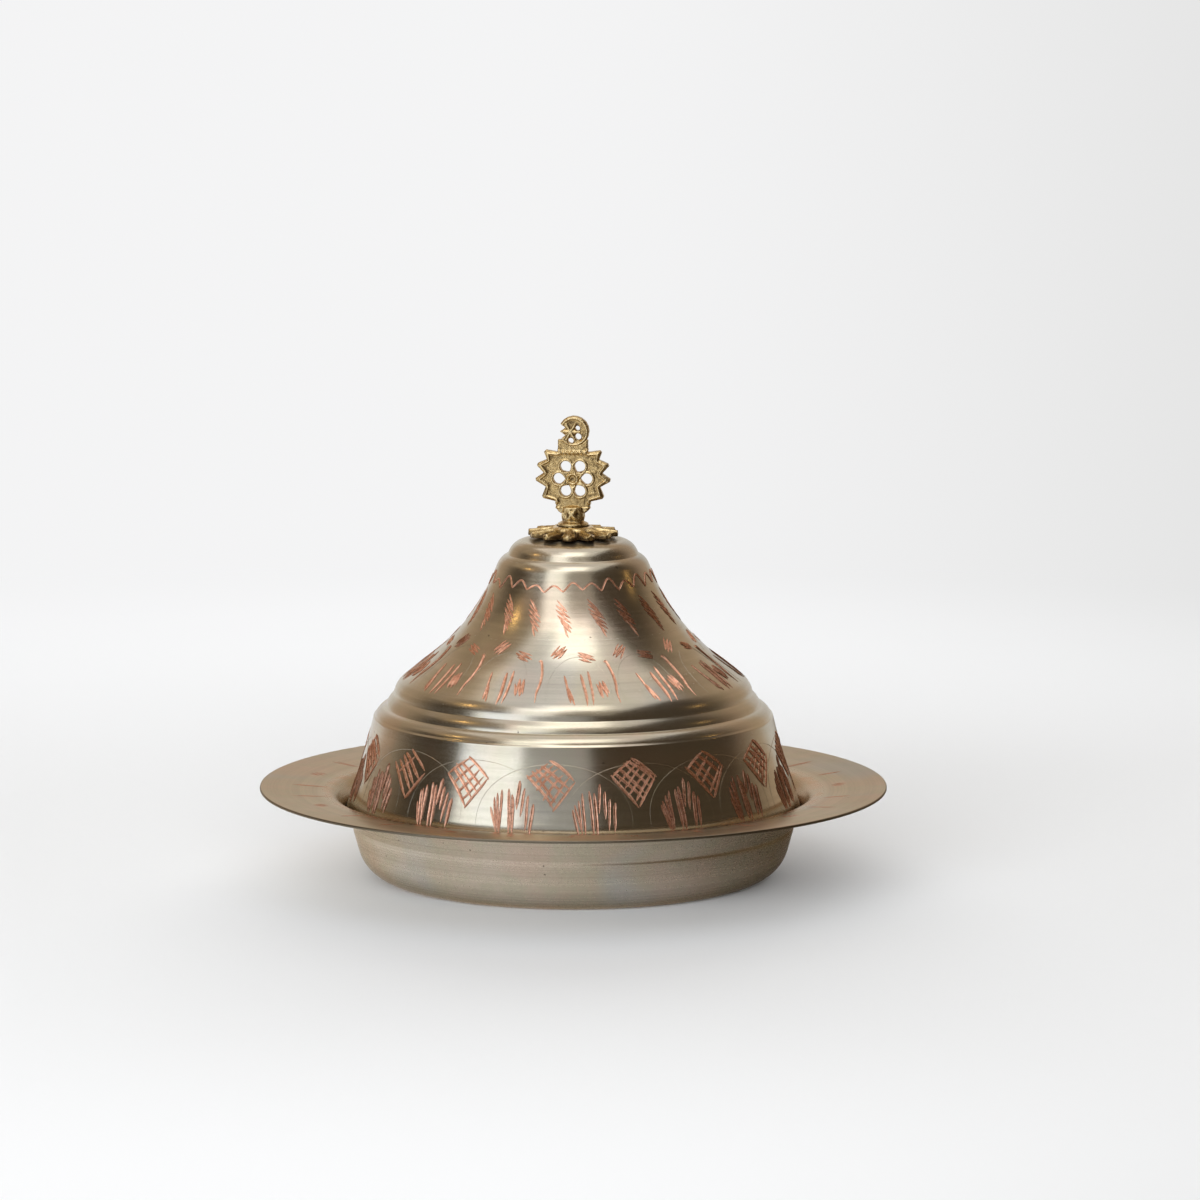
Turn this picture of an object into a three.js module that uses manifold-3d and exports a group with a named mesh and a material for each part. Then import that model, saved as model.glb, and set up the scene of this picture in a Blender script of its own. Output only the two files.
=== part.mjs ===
// A round serving dish of tinned copper with a tall lid and a cast brass finial.
// Millimetres, +Z up. The origin is on the table under the middle of the dish,
// and the front of the finial faces -Y.
import * as THREE from 'three';
import { mergeVertices } from 'three/addons/utils/BufferGeometryUtils.js';
import Module from 'manifold-3d';

const wasm = await Module();
wasm.setup();

const { degToRad } = THREE.MathUtils;

// Dish, with its sizes over the outside of the sheet
const rimDiameter = 200;
const rimHeight = 29.4;
const dishSheet = 0.9;
const flangeRise = 2.1;
const bellyDiameter = 140.4;
const bellyFootDiameter = 132;
const bellyBend = 12;
const ridgeHeight = 16;
const ridge = { size: 0.15, halfWidth: 0.8 };
const neckDiameter = 153.4;
const neckBend = 3.5;

// Lid shell, from the edge that rests in the neck of the dish up to the crown
const lidSheet = 0.9;
const seatHeight = 22.4;
const seatClearance = 0.3;
const wallRise = 30.1;
const wallTopDiameter = 127;
const wallBow = { depth: 0.95, height: 17.5, radius: 200 };
const foldBend = 1.2;
const lowerBead = { inset: 4, rise: 4.2, bulge: 0.5 };
const upperBead = { inset: 2.3, rise: 3.6, bulge: 0.35 };
const beadRadius = 30;
const shoulder = { inset: 0.8, rise: 2, bend: 7.5 };
const flare = { inset: 24.1, rise: 18.5, bend: 65 };
const neckTop = { inset: 8.2, rise: 19.5, bend: 1.2 };
const crownBead = { inset: 3.3, rise: 3.3, bulge: 0.5 };
const grooveBend = 0.6;
const domeWall = { inset: 1.8, rise: 4.1, bend: 6 };
const crownRise = 1.7;
const crownFlatDiameter = 13;
const crownBend = 12;

// Fastening through the crown
const studDiameter = 4;
const studClearance = 0.3;
const studChamfer = 0.4;
const studGrip = 5;
const studTail = 1.5;
const washer = { diameter: 10.6, thickness: 1 };
const nut = { acrossFlats: 7, thickness: 3.2, sides: 6 };

// Rosette
const rosetteDiameter = 28.4;
const rayCount = 12;
const rayTurn = degToRad(-7);
const rayTipShare = 0.34;
const rayNotchDepth = 3.4;
const rayThickness = 2.8;
const rayValleyDepth = 1.2;
const rosetteHub = { diameter: 10.6, footDiameter: 12.6, thickness: 3.1 };

// Finial, with heights on the sun and above it taken from the middle of the sun
const finialTurn = degToRad(-7);
const collar = { diameter: 9.8, edge: 0.8, slope: 0.7 };
const knop = { waist: 6.8, diameter: 7.4, rise: 2.4, bend: 3 };
const knopTop = { diameter: 6.6, rise: 4.6, bend: 1, crown: 0.9 };
const plateThickness = 2.6;
const plateBevel = 0.35;
const sun = { height: 15.1, top: 9.2 };
// Each tooth's tip and each notch beside them: degrees from the top and reach from the middle
const tips = [[45.5, 12.5], [68.5, 12.2], [92, 11.9], [122, 11.4]];
const notches = [[30, 9.8], [54, 10.3], [79.5, 9.5], [107, 9.1], [142, 9.2]];
const tipWidth = 4;
const skirt = [[5.3, -9.2], [4.9, -9.9], [3.9, -11], [2.6, -11], [2.6, -9.5]];
const sunHole = { count: 6, circle: 9, diameter: 3.4, reach: 2.3, halfArc: degToRad(115) };
const saddle = { width: 9.6, bottom: 7, top: 12.4 };
const crescent = { x: 0.3, height: 15.1, diameter: 9.8, seat: 0.3 };
const mouth = { top: degToRad(151), bottom: degToRad(-148) };
// The star's free point in the mouth, with the notch under and over it
const starPoint = [[-2.4, 13.8], [-4, 15], [-2.4, 16.2]];
// The holes between the star's other points, each with its radius
const starHoles = [[1.55, 16.1, 0.75], [1.7, 13.4, 1], [-0.65, 12.1, 0.9]];

// How finely the pieces are drawn
const shellSides = 48;
const smallSides = 28;
const starHoleSides = 16;
const chordError = 0.08;
const arcSteps = 8;
const pointSpacing = 1e-3;
const mergeDistance = 1e-4;

// Heights and sizes worked out from the values above
const rimRadius = rimDiameter / 2;
const neckHeight = rimHeight - dishSheet - flangeRise;
const neckFootHeight = ridgeHeight + ridge.halfWidth;
const boreRadius = studDiameter / 2 + studClearance;

// Materials

function tinnedCopper() {
  return new THREE.MeshStandardMaterial({ color: 0xa59c88, roughness: 0.38, metalness: 1 });
}

function castBrass() {
  return new THREE.MeshStandardMaterial({ color: 0xa98442, roughness: 0.4, metalness: 1 });
}

function plainSteel() {
  return new THREE.MeshStandardMaterial({ color: 0x8c8c8c, roughness: 0.45, metalness: 1 });
}

// Outlines

// The turn that an outline makes at one of its points.
function turnAt(points, i) {
  const before = points[i].clone().sub(points[i - 1]);
  const after = points[i + 1].clone().sub(points[i]);
  return Math.atan2(before.cross(after), before.dot(after));
}

// How far from each corner its round starts. Two rounds that want more than the
// straight between them share it.
function roundReaches(points, bends) {
  const inside = (i) => i > 0 && i < points.length - 1;
  const halfTurn = (i) => Math.abs(turnAt(points, i)) / 2;
  const wanted = points.map((_, i) => (inside(i) ? bends[i] * Math.tan(halfTurn(i)) : 0));
  const share = (i) => {
    const needed = wanted[i] + wanted[i + 1];
    return needed > 0 ? points[i].distanceTo(points[i + 1]) / needed : 1;
  };
  return wanted.map((reach, i) => (inside(i) ? reach * Math.min(1, share(i - 1), share(i)) : 0));
}

// Turns corners of [radius, height, bend radius] into points along straights and arcs.
function roundedOutline(corners) {
  const points = corners.map(([radius, height]) => new THREE.Vector2(radius, height));
  const reaches = roundReaches(points, corners.map(([, , bend = 0]) => bend));
  const outline = [points[0]];
  for (let i = 1; i < points.length - 1; i += 1) {
    if (reaches[i] < chordError) {
      outline.push(points[i]);
      continue;
    }
    const turn = turnAt(points, i);
    const radius = reaches[i] / Math.tan(Math.abs(turn) / 2);
    const back = points[i - 1].clone().sub(points[i]).normalize();
    const start = points[i].clone().addScaledVector(back, reaches[i]);
    const side = new THREE.Vector2(back.y, -back.x).multiplyScalar(Math.sign(turn));
    const centre = start.clone().addScaledVector(side, radius);
    const chordTurn = 2 * Math.acos(Math.max(1 - chordError / radius, 0));
    const steps = Math.ceil(Math.abs(turn) / chordTurn);
    for (let step = 0; step <= steps; step += 1) {
      outline.push(start.clone().rotateAround(centre, (turn * step) / steps));
    }
  }
  outline.push(points.at(-1));
  return outline.filter((point, i) => i === 0 || point.distanceTo(outline[i - 1]) > pointSpacing);
}

// A corner pushed out sideways from the middle of a straight, for a bulging bead.
function bulgeCorner([radiusA, heightA], [radiusB, heightB], bulge) {
  const along = new THREE.Vector2(radiusB - radiusA, heightB - heightA).normalize();
  const radius = (radiusA + radiusB) / 2 + along.y * 2 * bulge;
  const height = (heightA + heightB) / 2 - along.x * 2 * bulge;
  return [radius, height, beadRadius];
}

// The closed outline of a bent sheet: the face as given, then the face one sheet
// thickness to its left, looking along the outline.
function sheetOutline(face, sheet) {
  const across = (from, to) => {
    const along = to.clone().sub(from).normalize();
    return new THREE.Vector2(-along.y, along.x);
  };
  const last = face.length - 1;
  const back = face.map((point, i) => {
    const before = across(face[Math.max(i - 1, 0)], face[Math.max(i, 1)]);
    const after = across(face[Math.min(i, last - 1)], face[Math.min(i + 1, last)]);
    const mitre = before.clone().add(after).normalize();
    return point.clone().addScaledVector(mitre, sheet / mitre.dot(after));
  });
  return [...face, ...back.reverse()];
}

// Geometry

// A closed outline of (radius, height) turned round the Z axis.
function turned(outline, sides) {
  const onAxis = outline[0].x === 0 && outline.at(-1).x === 0;
  const closed = onAxis ? outline : [...outline, outline[0]];
  return new THREE.LatheGeometry(closed, sides).rotateX(Math.PI / 2);
}

// A flat shape drawn as the front sees it, standing upright and centred on y = 0.
function upright(shape, thickness, bevel) {
  const geometry = new THREE.ExtrudeGeometry(shape, {
    depth: thickness - 2 * bevel,
    bevelEnabled: bevel > 0,
    bevelThickness: bevel,
    bevelSize: bevel,
    bevelOffset: -bevel,
    bevelSegments: 1,
    curveSegments: arcSteps,
  });
  return geometry.translate(0, 0, bevel - thickness / 2).rotateX(Math.PI / 2);
}

// Rings of equally many points, each joined to the next and the last to the first.
function ringStack(rings) {
  const sides = rings[0].length;
  const at = (ring, side) => (ring % rings.length) * sides + (side % sides);
  const triangles = [];
  for (let ring = 0; ring < rings.length; ring += 1) {
    for (let side = 0; side < sides; side += 1) {
      const corners = [at(ring, side), at(ring, side + 1), at(ring + 1, side + 1), at(ring + 1, side)];
      triangles.push(corners[2], corners[1], corners[0], corners[3], corners[2], corners[0]);
    }
  }
  const geometry = new THREE.BufferGeometry().setFromPoints(rings.flat());
  geometry.setIndex(triangles);
  geometry.computeVertexNormals();
  return geometry;
}

function toSolid(geometry) {
  const bare = geometry.clone();
  bare.deleteAttribute('normal');
  bare.deleteAttribute('uv');
  const merged = mergeVertices(bare, mergeDistance);
  const corners = merged.index.array;
  const triangles = [];
  for (let i = 0; i < corners.length; i += 3) {
    const [a, b, c] = corners.slice(i, i + 3);
    if (a !== b && b !== c && c !== a) triangles.push(a, b, c);
  }
  const vertProperties = merged.attributes.position.array;
  const triVerts = new Uint32Array(triangles);
  return new wasm.Manifold(new wasm.Mesh({ numProp: 3, vertProperties, triVerts }));
}

function toGeometry(solid) {
  const { vertProperties, triVerts } = solid.getMesh();
  const geometry = new THREE.BufferGeometry();
  geometry.setAttribute('position', new THREE.BufferAttribute(vertProperties, 3));
  geometry.setIndex(new THREE.BufferAttribute(triVerts, 1));
  geometry.computeVertexNormals();
  return geometry;
}

function piece(name, geometry, material) {
  const mesh = new THREE.Mesh(geometry, material);
  mesh.name = name;
  return mesh;
}

// Dish

// Radius of the neck's inner face, where the neck is a plain cone.
function neckInsideRadius(height) {
  const lean = Math.atan2((neckDiameter - bellyDiameter) / 2, neckHeight - neckFootHeight);
  const outside = bellyDiameter / 2 + (height - neckFootHeight) * Math.tan(lean);
  return outside - dishSheet / Math.cos(lean);
}

function dish() {
  const belly = bellyDiameter / 2;
  const underside = roundedOutline([
    [0, 0],
    [bellyFootDiameter / 2, 0, bellyBend],
    [belly, ridgeHeight - ridge.halfWidth],
    [belly + ridge.size, ridgeHeight],
    [belly, neckFootHeight],
    [neckDiameter / 2, neckHeight, neckBend],
    [rimRadius, rimHeight - dishSheet],
  ]);
  return piece('dish', turned(sheetOutline(underside, dishSheet), shellSides), tinnedCopper());
}

// Lid

// Corners of the lid's outer face, from its lower edge to the flat of its crown.
function lidCorners() {
  const up = ([radius, height], step, bend = step.bend) => [radius - step.inset, height + step.rise, bend];
  const neckSlope = (neckDiameter - bellyDiameter) / 2 / (neckHeight - neckFootHeight);
  const edgeClearance = seatClearance * Math.hypot(1, neckSlope);
  const edge = [neckInsideRadius(seatHeight) - edgeClearance, seatHeight];
  const fold = [wallTopDiameter / 2, seatHeight + wallRise, foldBend];
  const bowRadius = THREE.MathUtils.lerp(edge[0], fold[0], wallBow.height / wallRise) - wallBow.depth;
  const bow = [bowRadius, seatHeight + wallBow.height, wallBow.radius];
  const beadGroove = up(fold, lowerBead, grooveBend);
  const notch = up(beadGroove, upperBead, grooveBend);
  const shoulderCorner = up(notch, shoulder);
  const flareCorner = up(shoulderCorner, flare);
  const flareTop = up(flareCorner, neckTop);
  const crownGroove = up(flareTop, crownBead, grooveBend);
  const domeCorner = up(crownGroove, domeWall);
  const crownHeight = domeCorner[1] + crownRise;
  return [
    edge,
    bow,
    fold,
    bulgeCorner(fold, beadGroove, lowerBead.bulge),
    beadGroove,
    bulgeCorner(beadGroove, notch, upperBead.bulge),
    notch,
    shoulderCorner,
    flareCorner,
    flareTop,
    bulgeCorner(flareTop, crownGroove, crownBead.bulge),
    crownGroove,
    domeCorner,
    [crownFlatDiameter / 2, crownHeight, crownBend],
    [boreRadius, crownHeight],
  ];
}

const crownHeight = lidCorners().at(-1)[1];
const rosetteTop = crownHeight + rosetteHub.thickness;
const washerTop = crownHeight - lidSheet;
const nutTop = washerTop - washer.thickness;
const studBottom = nutTop - nut.thickness - studTail;
const studTop = rosetteTop + studGrip;
const sunCentre = rosetteTop + sun.height;

function lidShell() {
  const outside = roundedOutline(lidCorners());
  return piece('lid_shell', turned(sheetOutline(outside, lidSheet), shellSides), tinnedCopper());
}

// Rosette

// Radius of the rosette's edge at a share of the way round one ray, where 0 is its
// middle and +-0.5 its notches.
function rayRadius(share) {
  const fromTip = Math.max(Math.abs(share) - rayTipShare / 2, 0) / (0.5 - rayTipShare / 2);
  return rosetteDiameter / 2 - rayNotchDepth * fromTip;
}

function rosette() {
  const shares = [0, rayTipShare / 2, 0.5, 1 - rayTipShare / 2];
  const around = [];
  for (let ray = 0; ray < rayCount; ray += 1) {
    for (const share of shares) {
      const angle = ((ray + share) / rayCount) * 2 * Math.PI + rayTurn - Math.PI / 2;
      around.push({ angle, share: share > 0.5 ? share - 1 : share });
    }
  }
  const ring = (radius, height) => around.map(({ angle, share }) => {
    const r = radius(share);
    return new THREE.Vector3(r * Math.cos(angle), r * Math.sin(angle), height(share));
  });
  const level = (value) => () => value;
  const rayTop = (share) => crownHeight + rayThickness - 2 * Math.abs(share) * rayValleyDepth;
  const rings = [
    ring(level(boreRadius), level(crownHeight)),
    ring(level(boreRadius), level(rosetteTop)),
    ring(level(rosetteHub.diameter / 2), level(rosetteTop)),
    ring(level(rosetteHub.footDiameter / 2), rayTop),
    ring(rayRadius, rayTop),
    ring(rayRadius, level(crownHeight)),
  ];
  return piece('rosette', ringStack(rings), castBrass());
}

// Finial

function polar(radius, angleFromTop, height = 0) {
  return new THREE.Vector2(radius * Math.sin(angleFromTop), height + radius * Math.cos(angleFromTop));
}

// Collar and knop in one turned body, with a blind bore for the stud.
function finialFoot() {
  const boreTop = studTop + studClearance;
  const slopeTop = rosetteTop + collar.edge + collar.slope;
  const outline = roundedOutline([
    [0, boreTop],
    [boreRadius, boreTop],
    [boreRadius, rosetteTop],
    [collar.diameter / 2, rosetteTop],
    [collar.diameter / 2, rosetteTop + collar.edge],
    [knop.waist / 2, slopeTop],
    [knop.diameter / 2, slopeTop + knop.rise, knop.bend],
    [knopTop.diameter / 2, slopeTop + knopTop.rise, knopTop.bend],
    [0, slopeTop + knopTop.rise + knopTop.crown],
  ]);
  return turned(outline, smallSides);
}

// A round hole drawn out to a point towards the middle of the sun.
function teardrop(angle) {
  const centre = new THREE.Vector2(sunHole.circle / 2, 0).rotateAround(new THREE.Vector2(), angle);
  const point = centre.clone().setLength(sunHole.circle / 2 - sunHole.reach);
  const start = angle - sunHole.halfArc;
  const end = angle + sunHole.halfArc;
  const hole = new THREE.Path();
  hole.absarc(centre.x, centre.y, sunHole.diameter / 2, start, end, false);
  hole.lineTo(point.x, point.y);
  return hole;
}

function sunPlate() {
  const corner = ([turn, reach], aside = 0) => polar(reach, degToRad(turn + aside));
  const right = tips.flatMap((tip, i) => [
    corner(notches[i]),
    corner(tip, -tipWidth / 2),
    corner(tip, tipWidth / 2),
  ]);
  right.push(corner(notches[tips.length]), ...skirt.map(([x, height]) => new THREE.Vector2(x, height)));
  const left = right.map(({ x, y }) => new THREE.Vector2(-x, y)).reverse();
  const shape = new THREE.Shape([polar(sun.top, 0), ...right, ...left]);
  for (let hole = 0; hole < sunHole.count; hole += 1) {
    shape.holes.push(teardrop((hole / sunHole.count) * 2 * Math.PI));
  }
  return upright(shape, plateThickness, plateBevel);
}

// The block under the crescent, hollowed a little inside the crescent's edge.
function saddlePlate() {
  const half = saddle.width / 2;
  const hollow = crescent.diameter / 2 - crescent.seat;
  const dip = Math.asin((crescent.height - saddle.top) / hollow);
  const shape = new THREE.Shape();
  shape.moveTo(-half, saddle.bottom);
  shape.lineTo(half, saddle.bottom);
  shape.lineTo(half, saddle.top);
  shape.absarc(crescent.x, crescent.height, hollow, -dip, dip - Math.PI, true);
  shape.lineTo(-half, saddle.top);
  return upright(shape, plateThickness, plateBevel);
}

// The crescent with the star cast into it, whose free point stands in the mouth.
function crescentPlate() {
  const shape = new THREE.Shape();
  shape.absarc(crescent.x, crescent.height, crescent.diameter / 2, mouth.top, mouth.bottom, true);
  starPoint.forEach(([x, height]) => shape.lineTo(x, height));
  starHoles.forEach(([x, height, radius]) => {
    const rim = Array.from({ length: starHoleSides }, (_, i) => (
      polar(radius, (-i / starHoleSides) * 2 * Math.PI, height).add(new THREE.Vector2(x, 0))
    ));
    shape.holes.push(new THREE.Path(rim));
  });
  return upright(shape, plateThickness, plateBevel);
}

function finial() {
  const plates = [sunPlate(), saddlePlate(), crescentPlate()];
  const placed = plates.map((plate) => toSolid(plate.translate(0, 0, sunCentre)));
  const whole = placed.reduce((solid, plate) => solid.add(plate), toSolid(finialFoot()));
  return piece('finial', toGeometry(whole).rotateZ(finialTurn), castBrass());
}

// Fastening

function finialStud() {
  const radius = studDiameter / 2;
  const outline = [
    new THREE.Vector2(0, studBottom),
    new THREE.Vector2(radius - studChamfer, studBottom),
    new THREE.Vector2(radius, studBottom + studChamfer),
    new THREE.Vector2(radius, studTop - studChamfer),
    new THREE.Vector2(radius - studChamfer, studTop),
    new THREE.Vector2(0, studTop),
  ];
  return piece('finial_stud', turned(outline, smallSides), plainSteel());
}

function innerWasher() {
  const outline = [
    new THREE.Vector2(boreRadius, nutTop),
    new THREE.Vector2(washer.diameter / 2, nutTop),
    new THREE.Vector2(washer.diameter / 2, washerTop),
    new THREE.Vector2(boreRadius, washerTop),
  ];
  return piece('inner_washer', turned(outline, smallSides), plainSteel());
}

function clampingNut() {
  const cornerRadius = nut.acrossFlats / 2 / Math.cos(Math.PI / nut.sides);
  const blank = new THREE.CylinderGeometry(cornerRadius, cornerRadius, nut.thickness, nut.sides);
  const bore = new THREE.CylinderGeometry(boreRadius, boreRadius, 2 * nut.thickness, smallSides);
  const bored = toGeometry(toSolid(blank).subtract(toSolid(bore)));
  const middle = nutTop - nut.thickness / 2;
  return piece('clamping_nut', bored.rotateX(Math.PI / 2).translate(0, 0, middle), plainSteel());
}

const lid = new THREE.Group();
lid.add(lidShell(), rosette(), finial(), finialStud(), innerWasher(), clampingNut());

const servingDish = new THREE.Group();
servingDish.add(dish(), lid);

export default servingDish;
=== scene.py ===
"""Looks of a round serving dish of tinned copper with a tall engraved lid and a cast brass finial.

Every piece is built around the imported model, in its frame. Sizes are in millimetres and angles
in degrees where they are written, and become metres and radians where a mesh is made. An angle
round the axis is 0 at the front (-Y) and grows to the right as the front sees it.
"""

import logging
import math
import random
from collections.abc import Sequence
from dataclasses import dataclass, field
from enum import Enum
from typing import Any

import bmesh
import bpy
import numpy as np
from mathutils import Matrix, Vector


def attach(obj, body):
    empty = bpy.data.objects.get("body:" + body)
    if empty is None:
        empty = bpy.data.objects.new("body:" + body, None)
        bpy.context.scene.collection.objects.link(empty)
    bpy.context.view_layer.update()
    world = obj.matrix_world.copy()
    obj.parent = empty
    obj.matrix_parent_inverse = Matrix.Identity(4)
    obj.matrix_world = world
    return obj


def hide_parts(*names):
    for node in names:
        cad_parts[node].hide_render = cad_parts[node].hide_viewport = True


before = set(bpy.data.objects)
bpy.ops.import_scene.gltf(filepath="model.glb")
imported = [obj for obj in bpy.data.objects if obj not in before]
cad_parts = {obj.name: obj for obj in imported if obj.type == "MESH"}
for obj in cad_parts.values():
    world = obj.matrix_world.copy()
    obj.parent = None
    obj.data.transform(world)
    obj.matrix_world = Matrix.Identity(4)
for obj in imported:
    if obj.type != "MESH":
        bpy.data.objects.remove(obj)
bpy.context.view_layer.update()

log = logging.getLogger("serving_dish")

MM = 0.001

Point2 = tuple[float, float]
Point3 = tuple[float, float, float]
Colour = tuple[float, float, float]


class Body(str, Enum):
    """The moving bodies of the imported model."""

    DISH = "dish"
    LID = "lid"


class Slot(str, Enum):
    """Two material slot names, which no piece here uses."""

    TIN = "tinned_copper"
    BRASS = "cast_brass"


# Outlines and surfaces of revolution


@dataclass(frozen=True)
class Corner:
    """A corner of a turned outline: its radius, its height and the radius of its bend."""

    radius: float
    height: float
    bend: float = 0.0


class Outline:
    """A line of points in the plane of radius and height, with its corners rounded."""

    def __init__(self, corners: Sequence[Corner], chord_error: float = 0.012) -> None:
        """Rounds the corners.

        Args:
            corners: The corners in order.
            chord_error: How far an arc may lie from its straight steps.
        """
        self.corners = list(corners)
        self.chord_error = chord_error
        self.points = self._round()

    def _turn(self, i: int) -> float:
        """Measures the angle by which the line turns at a corner.

        Args:
            i: The corner's number.

        Returns:
            The angle, in radians, positive to the left.
        """
        before, here, after = (self._at(i + step) for step in (-1, 0, 1))
        u, v = here - before, after - here
        return math.atan2(u[0] * v[1] - u[1] * v[0], float(u @ v))

    def _at(self, i: int) -> np.ndarray:
        """Returns corner i as a point."""
        return np.array([self.corners[i].radius, self.corners[i].height])

    def _reaches(self) -> list[float]:
        """Measures how far from each corner its bend starts, where bends share their straight.

        Returns:
            The length at each corner.
        """
        last = len(self.corners) - 1
        wanted = [0.0] * (last + 1)
        for i in range(1, last):
            wanted[i] = self.corners[i].bend * math.tan(abs(self._turn(i)) / 2)
        shares = [1.0] * last
        for i in range(last):
            needed = wanted[i] + wanted[i + 1]
            if needed > 0:
                shares[i] = float(np.linalg.norm(self._at(i + 1) - self._at(i))) / needed
        inner = [wanted[i] * min(1.0, shares[i - 1], shares[i]) for i in range(1, last)]
        return [0.0, *inner, 0.0]

    def _round(self) -> np.ndarray:
        """Puts an arc at each corner that has a bend.

        Returns:
            The points of the line.
        """
        reaches = self._reaches()
        points = [self._at(0)]
        for i in range(1, len(self.corners) - 1):
            if reaches[i] < 2 * self.chord_error:
                points.append(self._at(i))
                continue
            turn = self._turn(i)
            radius = reaches[i] / math.tan(abs(turn) / 2)
            back = self._at(i - 1) - self._at(i)
            back /= np.linalg.norm(back)
            start = self._at(i) + back * reaches[i]
            centre = start + np.array([back[1], -back[0]]) * math.copysign(radius, turn)
            step_turn = 2 * math.acos(max(1 - self.chord_error / radius, 0.0))
            steps = max(2, math.ceil(abs(turn) / step_turn))
            for step in range(steps + 1):
                angle = turn * step / steps
                c, s = math.cos(angle), math.sin(angle)
                arm = start - centre
                points.append(centre + np.array([arm[0] * c - arm[1] * s, arm[0] * s + arm[1] * c]))
        points.append(self._at(len(self.corners) - 1))
        kept = [points[0]]
        for point in points[1:]:
            if np.linalg.norm(point - kept[-1]) > self.chord_error / 4:
                kept.append(point)
        return np.array(kept)

    def offset(self, thickness: float) -> np.ndarray:
        """Moves the line to its left.

        Args:
            thickness: How far it moves.

        Returns:
            The moved line's points.
        """
        along = np.diff(self.points, axis=0)
        along /= np.linalg.norm(along, axis=1)[:, None]
        across = np.column_stack([-along[:, 1], along[:, 0]])
        before = np.vstack([across[:1], across])
        after = np.vstack([across, across[-1:]])
        mitre = before + after
        mitre /= np.linalg.norm(mitre, axis=1)[:, None]
        reach = thickness / np.sum(mitre * after, axis=1)
        return self.points + mitre * reach[:, None]


class Meridian:
    """A line of radius and height on a turned surface, measured by the way along it."""

    def __init__(self, points: np.ndarray, outward: int) -> None:
        """Measures the line and finds the normals at its points.

        Args:
            points: The line's points.
            outward: 1 where the outside lies to the right of the line, and -1 to its left.
        """
        self.points = points
        steps = np.diff(points, axis=0)
        lengths = np.linalg.norm(steps, axis=1)
        self.distances = np.concatenate([[0.0], np.cumsum(lengths)])
        normals = np.column_stack([steps[:, 1], -steps[:, 0]]) / lengths[:, None] * outward
        at_points = np.vstack([normals[:1], normals[:-1] + normals[1:], normals[-1:]])
        self.normals = at_points / np.linalg.norm(at_points, axis=1)[:, None]

    def radius(self, distance: float) -> float:
        """Returns the radius at a distance along the line."""
        return float(np.interp(distance, self.distances, self.points[:, 0]))

    def place(self, angle: float, distance: float) -> tuple[Vector, Vector]:
        """Finds a point of the surface.

        Args:
            angle: The angle round the axis, in degrees.
            distance: The way along the line.

        Returns:
            The point in metres and the unit normal that points out of the metal.
        """
        turn = math.radians(angle)
        height = float(np.interp(distance, self.distances, self.points[:, 1]))
        out = float(np.interp(distance, self.distances, self.normals[:, 0]))
        up = float(np.interp(distance, self.distances, self.normals[:, 1]))
        radial = Vector((math.sin(turn), -math.cos(turn), 0.0))
        point = (radial * self.radius(distance) + Vector((0, 0, height))) * MM
        return point, (radial * out + Vector((0, 0, up))).normalized()


# Node trees


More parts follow.
